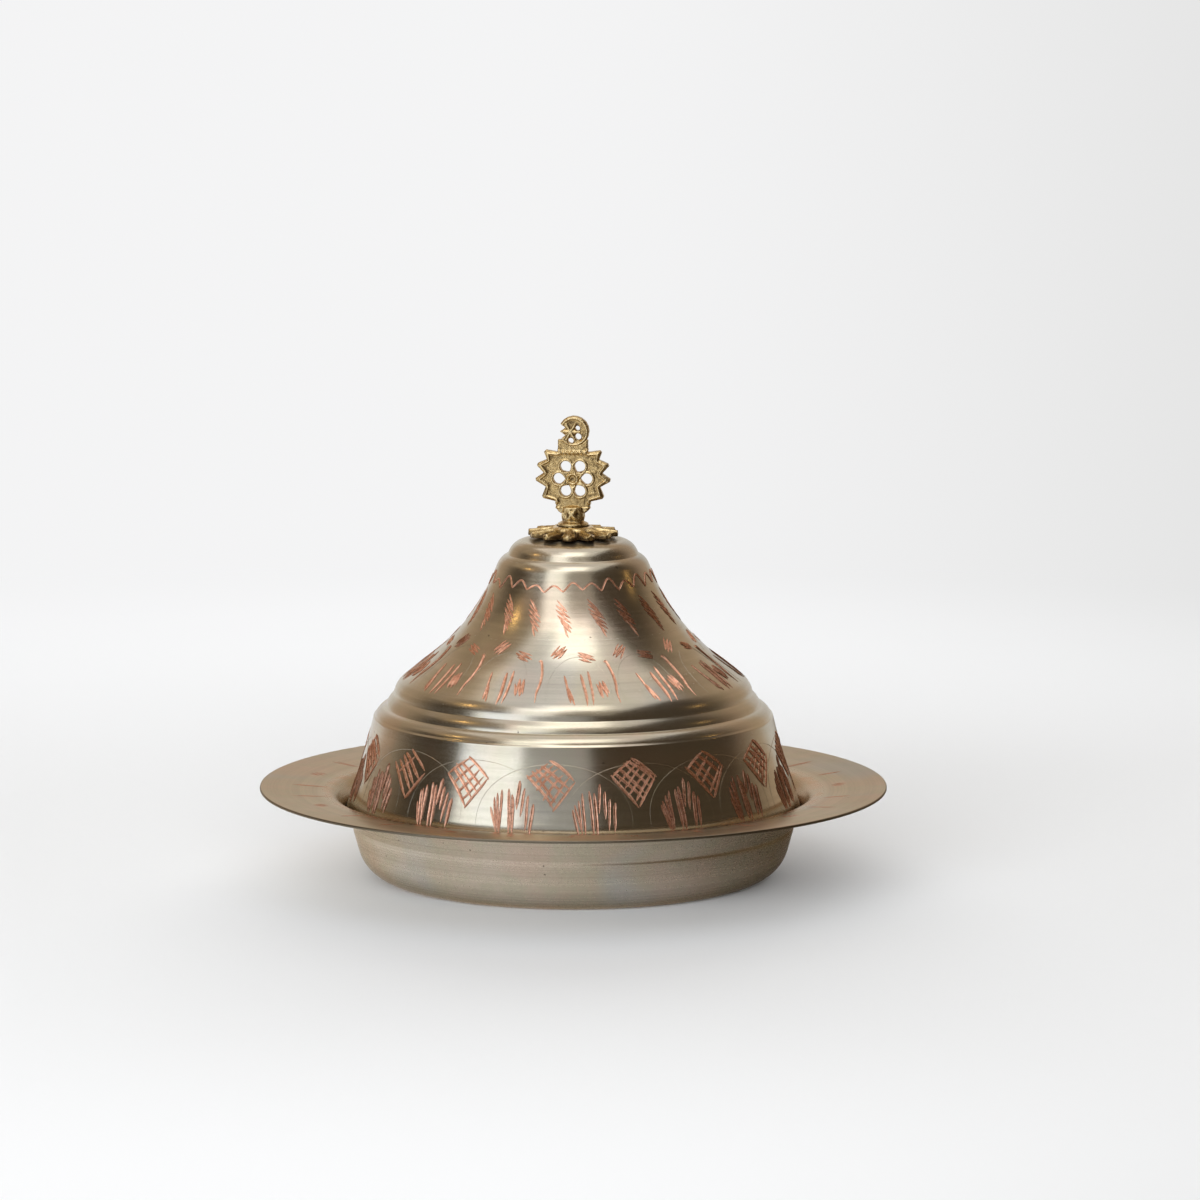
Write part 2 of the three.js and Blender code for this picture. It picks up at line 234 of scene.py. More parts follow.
class Graph:
    """Adds nodes to a tree and joins them."""

    def __init__(self, tree: bpy.types.NodeTree) -> None:
        """Takes the tree that the nodes go into."""
        self.tree = tree

    def node(self, kind: str, inputs: dict[Any, Any] | None = None, **settings: Any) -> bpy.types.Node:
        """Adds one node.

        Args:
            kind: The node's type.
            inputs: A value or an output socket for each input, by its name or its number.
            settings: The node's own properties.

        Returns:
            The new node.
        """
        made = self.tree.nodes.new(kind)
        for name, value in settings.items():
            setattr(made, name, value)
        for key, value in (inputs or {}).items():
            self.feed(made.inputs[key], value)
        return made

    def feed(self, socket: bpy.types.NodeSocket, value: Any) -> None:
        """Joins an output to a socket, or sets the socket's own value.

        Args:
            socket: The socket.
            value: The output or the value.
        """
        if isinstance(value, bpy.types.NodeSocket):
            self.tree.links.new(value, socket)
        elif isinstance(value, tuple) and len(value) == 3 and socket.type == "RGBA":
            socket.default_value = (*value, 1.0)
        else:
            socket.default_value = value

    def math(self, operation: str, *values: Any) -> bpy.types.NodeSocket:
        """Returns the result of a Math node on one to three values."""
        made = self.node("ShaderNodeMath", dict(enumerate(values)), operation=operation)
        return made.outputs[0]

    def vector_math(self, operation: str, *values: Any) -> bpy.types.NodeSocket:
        """Returns the vector result of a Vector Math node."""
        made = self.node("ShaderNodeVectorMath", dict(enumerate(values)), operation=operation)
        return made.outputs[0]

    def scaled(self, vector: Any, factor: Any) -> bpy.types.NodeSocket:
        """Returns a vector times a number."""
        made = self.node("ShaderNodeVectorMath", {0: vector, "Scale": factor}, operation="SCALE")
        return made.outputs[0]

    def length(self, vector: Any) -> bpy.types.NodeSocket:
        """Returns a vector's length."""
        return self.node("ShaderNodeVectorMath", {0: vector}, operation="LENGTH").outputs["Value"]

    def split(self, vector: Any) -> Sequence[bpy.types.NodeSocket]:
        """Returns a vector's three parts."""
        return self.node("ShaderNodeSeparateXYZ", {0: vector}).outputs

    def ramp(
        self, value: Any, start: float, end: float, low: float = 0.0, high: float = 1.0
    ) -> bpy.types.NodeSocket:
        """Returns a smooth step of a value, from low at start to high at end."""
        inputs = {0: value, 1: start, 2: end, 3: low, 4: high}
        return self.node("ShaderNodeMapRange", inputs, interpolation_type="SMOOTHSTEP").outputs[0]

    def ramp_mm(
        self, value: Any, ends: Point2, low: float = 0.0, high: float = 1.0
    ) -> bpy.types.NodeSocket:
        """Returns a smooth step of a length between two lengths in millimetres."""
        return self.ramp(value, ends[0] * MM, ends[1] * MM, low, high)

    def mix(self, factor: Any, a: Any, b: Any, blend: str = "MIX") -> bpy.types.NodeSocket:
        """Returns a mix of two colours."""
        made = self.node("ShaderNodeMix", {0: factor, 6: a, 7: b}, data_type="RGBA", blend_type=blend)
        return made.outputs[2]

    def noise(
        self, vector: Any, scale: float, detail: float = 2.0, roughness: float = 0.5
    ) -> bpy.types.NodeSocket:
        """Returns a three-dimensional noise."""
        inputs = {"Vector": vector, "Scale": scale, "Detail": detail, "Roughness": roughness}
        return self.node("ShaderNodeTexNoise", inputs).outputs[0]

    def named(self, name: str, data_type: str = "FLOAT") -> bpy.types.NodeSocket:
        """Returns a named attribute of the points in a geometry tree."""
        return self.node("GeometryNodeInputNamedAttribute", {"Name": name}, data_type=data_type).outputs[0]

    def noted(self, geometry: Any, name: str, value: Any) -> bpy.types.NodeSocket:
        """Notes a number at each point of a geometry.

        Args:
            geometry: The geometry.
            name: The name that the number goes under.
            value: The number.

        Returns:
            The geometry with it.
        """
        inputs = {"Geometry": geometry, "Name": name, "Value": value}
        kind = "GeometryNodeStoreNamedAttribute"
        return self.node(kind, inputs, data_type="FLOAT", domain="POINT").outputs[0]

    def bump(
        self, height: Any, strength: float, distance: float, normal: Any = None
    ) -> bpy.types.NodeSocket:
        """Tips a normal by a height.

        Args:
            height: The height at each place.
            strength: How much of the tipping shows.
            distance: How much a height of 1 stands for, in metres.
            normal: The normal that is tipped, where it isn't the surface's own.

        Returns:
            The tipped normal.
        """
        inputs = {"Height": height, "Strength": strength, "Distance": distance}
        if normal is not None:
            inputs["Normal"] = normal
        return self.node("ShaderNodeBump", inputs).outputs[0]

    def group(self, group: bpy.types.NodeTree, inputs: dict[str, Any]) -> bpy.types.Node:
        """Adds a node group.

        Args:
            group: The group's tree.
            inputs: A value or an output socket for each input that is fed.

        Returns:
            The new node.
        """
        made = self.tree.nodes.new(self.tree.bl_idname.replace("Tree", "Group"))
        made.node_tree = group
        for name, value in inputs.items():
            self.feed(made.inputs[name], value)
        return made


FLOAT = "NodeSocketFloat"
VECTOR = "NodeSocketVector"
GEOMETRY = "NodeSocketGeometry"
MATERIAL = "NodeSocketMaterial"
NUMBER_SOCKETS = {float: FLOAT, int: "NodeSocketInt"}


def new_group(
    name: str, kind: str, inputs: dict[str, Any], outputs: dict[str, str]
) -> tuple[bpy.types.NodeTree, Graph, bpy.types.Node, bpy.types.Node]:
    """Starts a node group.

    Args:
        name: The group's name.
        kind: The tree's type.
        inputs: The number or else the socket type of each named input.
        outputs: The socket type of each named output.

    Returns:
        The tree, its graph, its input node and its output node.
    """
    tree = bpy.data.node_groups.new(name, kind)
    for sockets, direction in ((inputs, "INPUT"), (outputs, "OUTPUT")):
        for label, value in sockets.items():
            socket_type = NUMBER_SOCKETS.get(type(value), value)
            socket = tree.interface.new_socket(label, in_out=direction, socket_type=socket_type)
            if type(value) in NUMBER_SOCKETS:
                socket.default_value = value
    graph = Graph(tree)
    return tree, graph, graph.node("NodeGroupInput"), graph.node("NodeGroupOutput")


class ShaderGroups:
    """The shader effects that more than one finish uses, each built once."""

    def __init__(self) -> None:
        """Builds the groups."""
        self.turning_lines = self._turning_lines()
        self.clouding = self._clouding()
        self.specks = self._specks()

    @staticmethod
    def _turning_lines() -> bpy.types.NodeTree:
        """Makes fine lines round the Z axis, as a spinning tool and a polishing cloth leave them.

        Returns:
            The group.
        """
        tree, g, start, end = new_group(
            "Turning lines",
            "ShaderNodeTree",
            {"Position": VECTOR, "Lines per Metre": 2500.0, "Wander": 0.6},
            {"Height": FLOAT, "Radius": FLOAT},
        )
        x, y, z = g.split(start.outputs["Position"])
        flat = g.node("ShaderNodeCombineXYZ", {0: x, 1: y}).outputs[0]
        radius = g.length(flat)
        around = g.split(g.scaled(g.vector_math("NORMALIZE", flat), start.outputs["Wander"]))
        up = g.math("MULTIPLY", z, start.outputs["Lines per Metre"])
        out = g.math("MULTIPLY", radius, start.outputs["Lines per Metre"])
        where = g.node("ShaderNodeCombineXYZ", {0: around[0], 1: around[1], 2: up})
        lines = g.node(
            "ShaderNodeTexNoise",
            {"Vector": where.outputs[0], "W": out, "Scale": 1.0, "Detail": 2.0, "Roughness": 0.7},
            noise_dimensions="4D",
        )
        g.feed(end.inputs["Height"], lines.outputs[0])
        g.feed(end.inputs["Radius"], radius)
        return tree

    @staticmethod
    def _clouding() -> bpy.types.NodeTree:
        """Makes soft patches at a large and a small size.

        Returns:
            The group.
        """
        tree, g, start, end = new_group(
            "Clouding",
            "ShaderNodeTree",
            {"Position": VECTOR, "Patches per Metre": 30.0},
            {"Large": FLOAT, "Small": FLOAT},
        )
        where = g.scaled(start.outputs["Position"], start.outputs["Patches per Metre"])
        large = g.noise(where, 1.0, detail=3.0, roughness=0.55)
        small = g.noise(where, 6.3, detail=4.0, roughness=0.6)
        g.feed(end.inputs["Large"], g.ramp(large, 0.36, 0.64))
        g.feed(end.inputs["Small"], g.ramp(small, 0.34, 0.66))
        return tree

    @staticmethod
    def _specks() -> bpy.types.NodeTree:
        """Makes sparse small spots, such as pits in the tin.

        Returns:
            The group.
        """
        tree, g, start, end = new_group(
            "Specks",
            "ShaderNodeTree",
            {"Position": VECTOR, "Cells per Metre": 220.0, "Share": 0.3},
            {"Mask": FLOAT},
        )
        where = g.scaled(start.outputs["Position"], start.outputs["Cells per Metre"])
        cells = g.node("ShaderNodeTexVoronoi", {"Vector": where, "Scale": 1.0})
        chance = g.split(cells.outputs["Color"])
        chosen = g.math("LESS_THAN", chance[0], start.outputs["Share"])
        size = g.math("MULTIPLY_ADD", chance[1], 0.05, 0.03)
        near = g.math("LESS_THAN", cells.outputs["Distance"], size)
        g.feed(end.inputs["Mask"], g.math("MULTIPLY", chosen, near))
        return tree


def new_material(name: str) -> tuple[bpy.types.Material, Graph, bpy.types.Node, bpy.types.NodeSocket]:
    """Starts a material.

    Args:
        name: The material's name.

    Returns:
        The material, its graph, its Principled node and its object coordinates.
    """
    material = bpy.data.materials.new(name)
    material.use_nodes = True
    graph = Graph(material.node_tree)
    shader = material.node_tree.nodes["Principled BSDF"]
    place = graph.node("ShaderNodeTexCoord").outputs["Object"]
    return material, graph, shader, place


# Finishes


@dataclass(frozen=True)
class TinnedCopper:
    """Spun copper under a wiped coat of tin: warm grey, with turning lines, heat tints and wear.

    Each pair is a height or a radius, in millimetres, where a change starts and one where it is
    complete. Over the zone the metal goes from smooth to dull. Copper shows through at the foot,
    where the tin wears off. Patches of copper colour on the bend of the neck are a painted
    reflection, and painted shade darkens the foot's rounding near the floor and the rim's cut edge.
    """

    name: str
    metal: Colour = (0.57, 0.515, 0.42)
    brown: Colour = (0.47, 0.385, 0.27)
    olive: Colour = (0.5, 0.475, 0.35)
    pink: Colour = (0.62, 0.46, 0.37)
    blue: Colour = (0.46, 0.48, 0.49)
    copper: Colour = (0.62, 0.33, 0.2)
    # Colour of the painted shade on the foot's rounding and on the rim's cut edge.
    painted_shade: Colour = (0.1, 0.085, 0.06)
    pit: Colour = (0.08, 0.055, 0.04)
    grazing: Colour = (0.92, 0.9, 0.86)
    smooth: float = 0.19
    dull: float = 0.24
    matt: float = 0.42
    zone_by_radius: bool = False
    zone: Point2 = (52.2, 53.2)
    # Shares, in order: painted reflection on the neck's bend, real wear at the foot, painted shade at the
    # foot, painted shade on the rim.
    bend_painted_reflection: float = 0.45
    foot_wear: float = 0.35
    foot_painted_shade: float = 0.55
    rim_painted_shade: float = 0.8
    pit_share: float = 0.75
    # Zones, in order: the dull crown; the rim's painted shade; the painted reflection on the neck's bend,
    # kept to the neck; real wear at the foot; the foot's painted shade, kept beyond a radius.
    matt_height: Point2 = (107.6, 108.8)
    rim_radius: Point2 = (99.5, 99.9)
    reflecting_bend_radius: Point2 = (81.0, 78.5)
    neck_height: Point2 = (26.0, 27.5)
    neck_radius: Point2 = (75.0, 76.5)
    worn_foot: Point2 = (3.2, 0.4)
    shaded_foot_height: Point2 = (9.0, 1.5)
    foot_radius: Point2 = (58.0, 64.0)
    tint: float = 0.35
    streak: float = 0.045
    grain: float = 0.02
    line_depth: float = 0.000007
    dent_depth: float = 0.00025

    def build(self, groups: ShaderGroups) -> bpy.types.Material:
        """Makes the material.

        Args:
            groups: The shared shader effects.

        Returns:
            The material.
        """
        material, g, shader, place = new_material(self.name)
        fine = g.group(groups.turning_lines, {"Position": place, "Lines per Metre": 1500.0, "Wander": 0.15})
        broad = g.group(groups.turning_lines, {"Position": place, "Lines per Metre": 330.0, "Wander": 0.12})
        clouds = g.group(groups.clouding, {"Position": place, "Patches per Metre": 26.0})
        flecks = g.group(groups.clouding, {"Position": place, "Patches per Metre": 160.0})
        specks = g.group(groups.specks, {"Position": place})
        radius = fine.outputs["Radius"]
        height = g.split(place)[2]

        colour = g.mix(g.math("MULTIPLY", clouds.outputs["Large"], self.tint), self.metal, self.brown)
        colour = g.mix(g.math("MULTIPLY", clouds.outputs["Small"], self.tint), colour, self.olive)
        colour = self._heat_tint(g, place, colour)
        streaks = g.ramp(broad.outputs["Height"], 0.35, 0.65, 1 - self.streak, 1 + self.streak)
        fine_streaks = g.ramp(fine.outputs["Height"], 0.35, 0.65, 1 - self.grain, 1 + self.grain)
        colour = g.mix(1.0, colour, g.math("MULTIPLY", streaks, fine_streaks), "MULTIPLY")
        # Painted reflection: copper-coloured patches on the bend of the neck.
        bend = g.ramp_mm(radius, self.reflecting_bend_radius, 0.0, self.bend_painted_reflection)
        bend = g.math("MULTIPLY", bend, g.ramp_mm(height, self.neck_height))
        bend = g.math("MULTIPLY", bend, g.ramp_mm(radius, self.neck_radius))
        foot = g.ramp_mm(height, self.worn_foot, 0.0, self.foot_wear)
        # Copper colour: real wear at the foot and a painted reflection on the neck's bend.
        bare = g.math("MULTIPLY", g.math("MAXIMUM", bend, foot), flecks.outputs["Large"])
        colour = g.mix(bare, colour, self.copper)
        # Painted shade: the foot's rounding darkens near the floor, and the rim's cut edge darkens.
        painted_shade = g.ramp_mm(height, self.shaded_foot_height, 0.0, self.foot_painted_shade)
        painted_shade = g.math("MULTIPLY", painted_shade, g.ramp_mm(radius, self.foot_radius))
        colour = g.mix(painted_shade, colour, self.painted_shade)
        colour = g.mix(g.ramp_mm(radius, self.rim_radius, 0.0, self.rim_painted_shade), colour, self.painted_shade)
        colour = g.mix(g.math("MULTIPLY", specks.outputs["Mask"], self.pit_share), colour, self.pit)
        g.feed(shader.inputs["Base Color"], colour)

        along = radius if self.zone_by_radius else height
        rough = g.ramp_mm(along, self.zone, self.smooth, self.dull)
        rough = g.math("ADD", rough, g.ramp_mm(height, self.matt_height, 0.0, self.matt - self.dull))
        rough = g.math("ADD", rough, g.ramp(flecks.outputs["Small"], 0.0, 1.0, -0.01, 0.015))
        rough = g.math("ADD", rough, g.ramp(fine.outputs["Height"], 0.3, 0.7, -0.02, 0.02))
        g.feed(shader.inputs["Roughness"], rough)
        shader.inputs["Metallic"].default_value = 1.0
        shader.inputs["Specular Tint"].default_value = (*self.grazing, 1.0)

        dents = g.bump(g.noise(place, 55.0, detail=1.0), 0.35, self.dent_depth)
        lines = g.math("ADD", fine.outputs["Height"], broad.outputs["Height"])
        g.feed(shader.inputs["Normal"], g.bump(lines, 0.6, self.line_depth, dents))
        return material

    def _heat_tint(self, g: Graph, place: Any, colour: Any) -> Any:
        """Adds faint pink and blue patches, as heating leaves them.

        Args:
            g: The material's graph.
            place: The object coordinates.
            colour: The colour so far.

        Returns:
            The tinted colour.
        """
        pinks = g.noise(g.vector_math("ADD", place, (0.3, 0.1, 0.7)), 34.0, detail=2.0)
        blues = g.noise(g.vector_math("ADD", place, (0.9, 0.4, 0.2)), 27.0, detail=2.0)
        pink_share = g.ramp(pinks, 0.5, 0.68, 0.0, self.tint)
        blue_share = g.ramp(blues, 0.54, 0.7, 0.0, self.tint)
        return g.mix(blue_share, g.mix(pink_share, colour, self.pink), self.blue)


@dataclass(frozen=True)
class BareCopper:
    """Copper laid bare by the graver, brighter and darker from stroke to stroke, with a painted highlight
    on the lips of each cut and a painted shadow along its edges.
    """

    name: str = "Bare copper"
    bright: Colour = (0.95, 0.56, 0.4)
    dark: Colour = (0.5, 0.2, 0.11)
    # Colour of the painted shadow along the cuts' edges.
    edge: Colour = (0.12, 0.06, 0.04)
    roughness: float = 0.3
    chatter_depth: float = 0.00006

    def build(self, groups: ShaderGroups) -> bpy.types.Material:
        """Makes the material.

        Args:
            groups: The shared shader effects.

        Returns:
            The material.
        """
        material, g, shader, place = new_material(self.name)
        clouds = g.group(groups.clouding, {"Position": place, "Patches per Metre": 620.0})
        tone = g.node("ShaderNodeAttribute", attribute_name="tone").outputs["Fac"]
        across = g.node("ShaderNodeAttribute", attribute_name="across").outputs["Fac"]
        share = g.math("MULTIPLY", tone, g.ramp(clouds.outputs["Large"], 0.0, 1.0, 0.5, 1.1))
        # Painted highlight: the lips are lighter than the trough.
        share = g.math("MULTIPLY", share, g.ramp(across, 0.0, 0.45, 0.72, 1.0))
        copper = g.mix(share, self.dark, self.bright)
        # Painted shadow along the edges of each cut.
        edge = g.math("MULTIPLY", g.ramp(across, 0.88, 1.0), 0.7)
        g.feed(shader.inputs["Base Color"], g.mix(edge, copper, self.edge))
        rough = g.ramp(clouds.outputs["Small"], 0.0, 1.0, self.roughness - 0.08, self.roughness + 0.1)
        g.feed(shader.inputs["Roughness"], rough)
        shader.inputs["Metallic"].default_value = 1.0
        chatter = g.noise(place, 1400.0, detail=1.0)
        g.feed(shader.inputs["Normal"], g.bump(chatter, 0.4, self.chatter_depth))
        return material


@dataclass(frozen=True)
class CastBrass:
    """Rough cast brass: golden on the high spots and brown in the hollows, partly wear and patina and
    partly a painted highlight on what stands out and painted shade in what is sunk.
    """

    name: str = "Cast brass"
    bright: Colour = (0.86, 0.68, 0.38)
    middle: Colour = (0.52, 0.37, 0.17)
    dark: Colour = (0.1, 0.06, 0.03)
    wear_and_light_looks: Point2 = (0.42, 0.75)
    sunk_looks: Point2 = (0.45, 0.18)
    roughness: float = 0.24
    sunk_roughness: float = 0.25
    grain_depth: float = 0.00012

    def build(self, groups: ShaderGroups) -> bpy.types.Material:
        """Makes the material.

        Args:
            groups: The shared shader effects.

        Returns:
            The material.
        """
        material, g, shader, place = new_material(self.name)
        clouds = g.group(groups.clouding, {"Position": place, "Patches per Metre": 300.0})
        # Wear together with painted highlight and painted shade: the noted brightness picks the golden and
        # the brown.
        high = g.node("ShaderNodeAttribute", attribute_name="cast_wear_and_light").outputs["Fac"]
        wear_and_light = g.ramp(high, *self.wear_and_light_looks)
        sunk = g.ramp(high, *self.sunk_looks)
        colour = g.mix(wear_and_light, self.middle, self.bright)
        colour = g.mix(g.math("MULTIPLY", clouds.outputs["Small"], 0.35), colour, self.middle)
        colour = g.mix(g.math("MULTIPLY", sunk, 0.85), colour, self.dark)
        g.feed(shader.inputs["Base Color"], colour)
        rough = g.math("ADD", g.ramp(clouds.outputs["Large"], 0.0, 1.0, -0.05, 0.08), self.roughness)
        rough = g.math("ADD", rough, g.math("MULTIPLY", sunk, self.sunk_roughness))
        g.feed(shader.inputs["Roughness"], rough)
        shader.inputs["Metallic"].default_value = 1.0
        grain = g.noise(place, 2600.0, detail=3.0, roughness=0.6)
        g.feed(shader.inputs["Normal"], g.bump(grain, 0.6, self.grain_depth))
        return material


@dataclass(frozen=True)
class PlainSteel:
    """Turned steel of the stud, washer and nut."""

    name: str = "Plain steel"
    metal: Colour = (0.42, 0.41, 0.39)
    dirt: Colour = (0.2, 0.17, 0.13)
    roughness: float = 0.36
    line_depth: float = 0.00002

    def build(self, groups: ShaderGroups) -> bpy.types.Material:
        """Makes the material.

        Args:
            groups: The shared shader effects.

        Returns:
            The material.
        """
        material, g, shader, place = new_material(self.name)
        lines = g.group(groups.turning_lines, {"Position": place, "Lines per Metre": 5200.0, "Wander": 0.8})
        clouds = g.group(groups.clouding, {"Position": place, "Patches per Metre": 380.0})
        colour = g.mix(g.math("MULTIPLY", clouds.outputs["Large"], 0.5), self.metal, self.dirt)
        g.feed(shader.inputs["Base Color"], colour)
        rough = g.ramp(clouds.outputs["Small"], 0.0, 1.0, self.roughness - 0.08, self.roughness + 0.12)
        g.feed(shader.inputs["Roughness"], rough)
        shader.inputs["Metallic"].default_value = 1.0
        g.feed(shader.inputs["Normal"], g.bump(lines.outputs["Height"], 0.5, self.line_depth))
        return material


# Geometry trees


class GeometryTrees:
    """The geometry node trees that turn shells, sweep strokes and roughen castings."""

    def __init__(self) -> None:
        """Builds the trees."""
        self.turned_shell = self._turned_shell()
        self.graver_strokes = self._graver_strokes()
        self.cast_skin = self._cast_skin()

    @staticmethod
    def _finish(g: Graph, geometry: Any, start: bpy.types.Node, end: bpy.types.Node) -> None:
        """Shades a geometry smooth, realizes it, gives it the material and puts it out.

        Args:
            g: The tree's graph.
            geometry: The geometry.
            start: The tree's input node.
            end: Its output node.
        """
        smooth = g.node("GeometryNodeSetShadeSmooth", {"Geometry": geometry})
        real = g.node("GeometryNodeRealizeInstances", {"Geometry": smooth.outputs[0]})
        dressed = g.node(
            "GeometryNodeSetMaterial",
            {"Geometry": real.outputs[0], "Material": start.outputs["Material"]},
        )
        g.feed(end.inputs["Geometry"], dressed.outputs[0])

    def _turned_shell(self) -> bpy.types.NodeTree:
        """Carries an outline round a circle and closes the poles.

        The outline's X is the radius less the circle's radius, and its Y the height turned down.

        Returns:
            The tree.
        """
        tree, g, start, end = new_group(
            "Turned shell",
            "GeometryNodeTree",
            {
                "Geometry": GEOMETRY,
                "Sides": 192,
                "Path Radius": 0.01,
                "Merge Distance": 0.000002,
                "Material": MATERIAL,
            },
            {"Geometry": GEOMETRY},
        )
        path = g.node(
            "GeometryNodeCurvePrimitiveCircle",
            {"Resolution": start.outputs["Sides"], "Radius": start.outputs["Path Radius"]},
            mode="RADIUS",
        )
        facing = g.node("GeometryNodeSetCurveNormal", {"Curve": path.outputs["Curve"]}, mode="Z_UP")
        outline = g.node("GeometryNodeMeshToCurve", {0: start.outputs["Geometry"]})
        swept = g.node(
            "GeometryNodeCurveToMesh",
            {"Curve": facing.outputs[0], "Profile Curve": outline.outputs[0]},
        )
        merged = g.node(
            "GeometryNodeMergeByDistance",
            {"Geometry": swept.outputs[0], "Distance": start.outputs["Merge Distance"]},
        )
        self._finish(g, merged.outputs[0], start, end)
        return tree

    def _graver_strokes(self) -> bpy.types.NodeTree:
        """Sweeps a groove with raised lips along each line of points.

        The points carry the attributes surface_normal and half_width.

        Returns:
            The tree.
        """
        tree, g, start, end = new_group(
            "Graver strokes",
            "GeometryNodeTree",
            {
                "Geometry": GEOMETRY,
                "Section Points": 12,
                "Lip Height": 0.42,
                "Root Depth": 0.35,
                "Unevenness": 0.3,
                "Seed": 4.0,
                "Material": MATERIAL,
            },
            {"Geometry": GEOMETRY},
        )
        section = g.node(
            "GeometryNodeCurvePrimitiveCircle",
            {"Resolution": start.outputs["Section Points"], "Radius": 1.0},
            mode="RADIUS",
        )
        across, side, _ = g.split(g.node("GeometryNodeInputPosition").outputs[0])
        from_middle = g.math("ABSOLUTE", across)
        lip = g.node("ShaderNodeFloatCurve", {"Value": from_middle})
        curve = lip.mapping.curves[0]
        curve.points[0].location = (0.0, 0.08)
        curve.points[1].location = (1.0, 0.0)
        curve.points.new(0.5, 0.4)
        curve.points.new(0.85, 1.0)
        lip.mapping.update()
        top = g.math("MULTIPLY", lip.outputs[0], start.outputs["Lip Height"])
        under = g.math("MULTIPLY", side, start.outputs["Root Depth"])
        height = g.node(
            "GeometryNodeSwitch",
            {"Switch": g.math("GREATER_THAN", side, -0.01), "False": under, "True": top},
            input_type="FLOAT",
        )
        noted = g.noted(section.outputs["Curve"], "across", from_middle)
        shaped = g.node("ShaderNodeCombineXYZ", {0: height.outputs[0], 1: across})
        groove = g.node("GeometryNodeSetPosition", {"Geometry": noted, "Position": shaped.outputs[0]})
        lines = g.node("GeometryNodeMeshToCurve", {0: start.outputs["Geometry"]})
        facing = g.node(
            "GeometryNodeSetCurveNormal",
            {"Curve": lines.outputs[0], "Normal": g.named("surface_normal", "FLOAT_VECTOR")},
            mode="FREE",
        )
        shake = g.node(
            "ShaderNodeTexNoise",
            {"W": start.outputs["Seed"], "Scale": 900.0, "Detail": 1.0},
            noise_dimensions="4D",
        )
        shake = g.math("SUBTRACT", shake.outputs[0], 0.5)
        uneven = g.math("MULTIPLY_ADD", shake, start.outputs["Unevenness"], 1.0)
        swept = g.node(
            "GeometryNodeCurveToMesh",
            {
                "Curve": facing.outputs[0],
                "Profile Curve": groove.outputs[0],
                "Scale": g.math("MULTIPLY", g.named("half_width"), uneven),
                "Fill Caps": True,
            },
        )
        self._finish(g, swept.outputs[0], start, end)
        return tree

    def _cast_skin(self) -> bpy.types.NodeTree:
        """Pushes a surface in and out by two sizes of bumps and notes how bright each point is painted.

        The points carry the attribute relief, the share of that brightness which is already cast, with its
        painted highlight and painted shade.

        Returns:
            The tree.
        """
        tree, g, start, end = new_group(
            "Cast skin",
            "GeometryNodeTree",
            {
                "Geometry": GEOMETRY,
                "Pebbles per Metre": 1000.0,
                "Pebble Height": 0.00022,
                "Grains per Metre": 2600.0,
                "Grain Height": 0.00007,
                "Seed": 3.0,
                "Material": MATERIAL,
            },
            {"Geometry": GEOMETRY},
        )
        where = g.node("GeometryNodeInputPosition").outputs[0]
        heights = []
        for scale, size in (("Pebbles per Metre", "Pebble Height"), ("Grains per Metre", "Grain Height")):
            bumps = g.node(
                "ShaderNodeTexNoise",
                {"Vector": where, "W": start.outputs["Seed"], "Scale": start.outputs[scale], "Detail": 1.0},
                noise_dimensions="4D",
            )
            centred = g.math("SUBTRACT", bumps.outputs[0], 0.5)
            heights.append((centred, g.math("MULTIPLY", centred, start.outputs[size])))
        (pebble, pebble_push), (grain, grain_push) = heights
        # Bumps that stand out are noted brighter.
        look = g.math("MULTIPLY_ADD", pebble, 0.6, g.math("MULTIPLY", grain, 0.25))
        look = g.math("ADD", g.math("ADD", look, 0.5), g.named("relief"))
        noted = g.noted(start.outputs["Geometry"], "cast_wear_and_light", look)
        push = g.math("ADD", pebble_push, grain_push)
        away = g.scaled(g.node("GeometryNodeInputNormal").outputs[0], push)
        moved = g.node("GeometryNodeSetPosition", {"Geometry": noted, "Offset": away})
        self._finish(g, moved.outputs[0], start, end)
        return tree


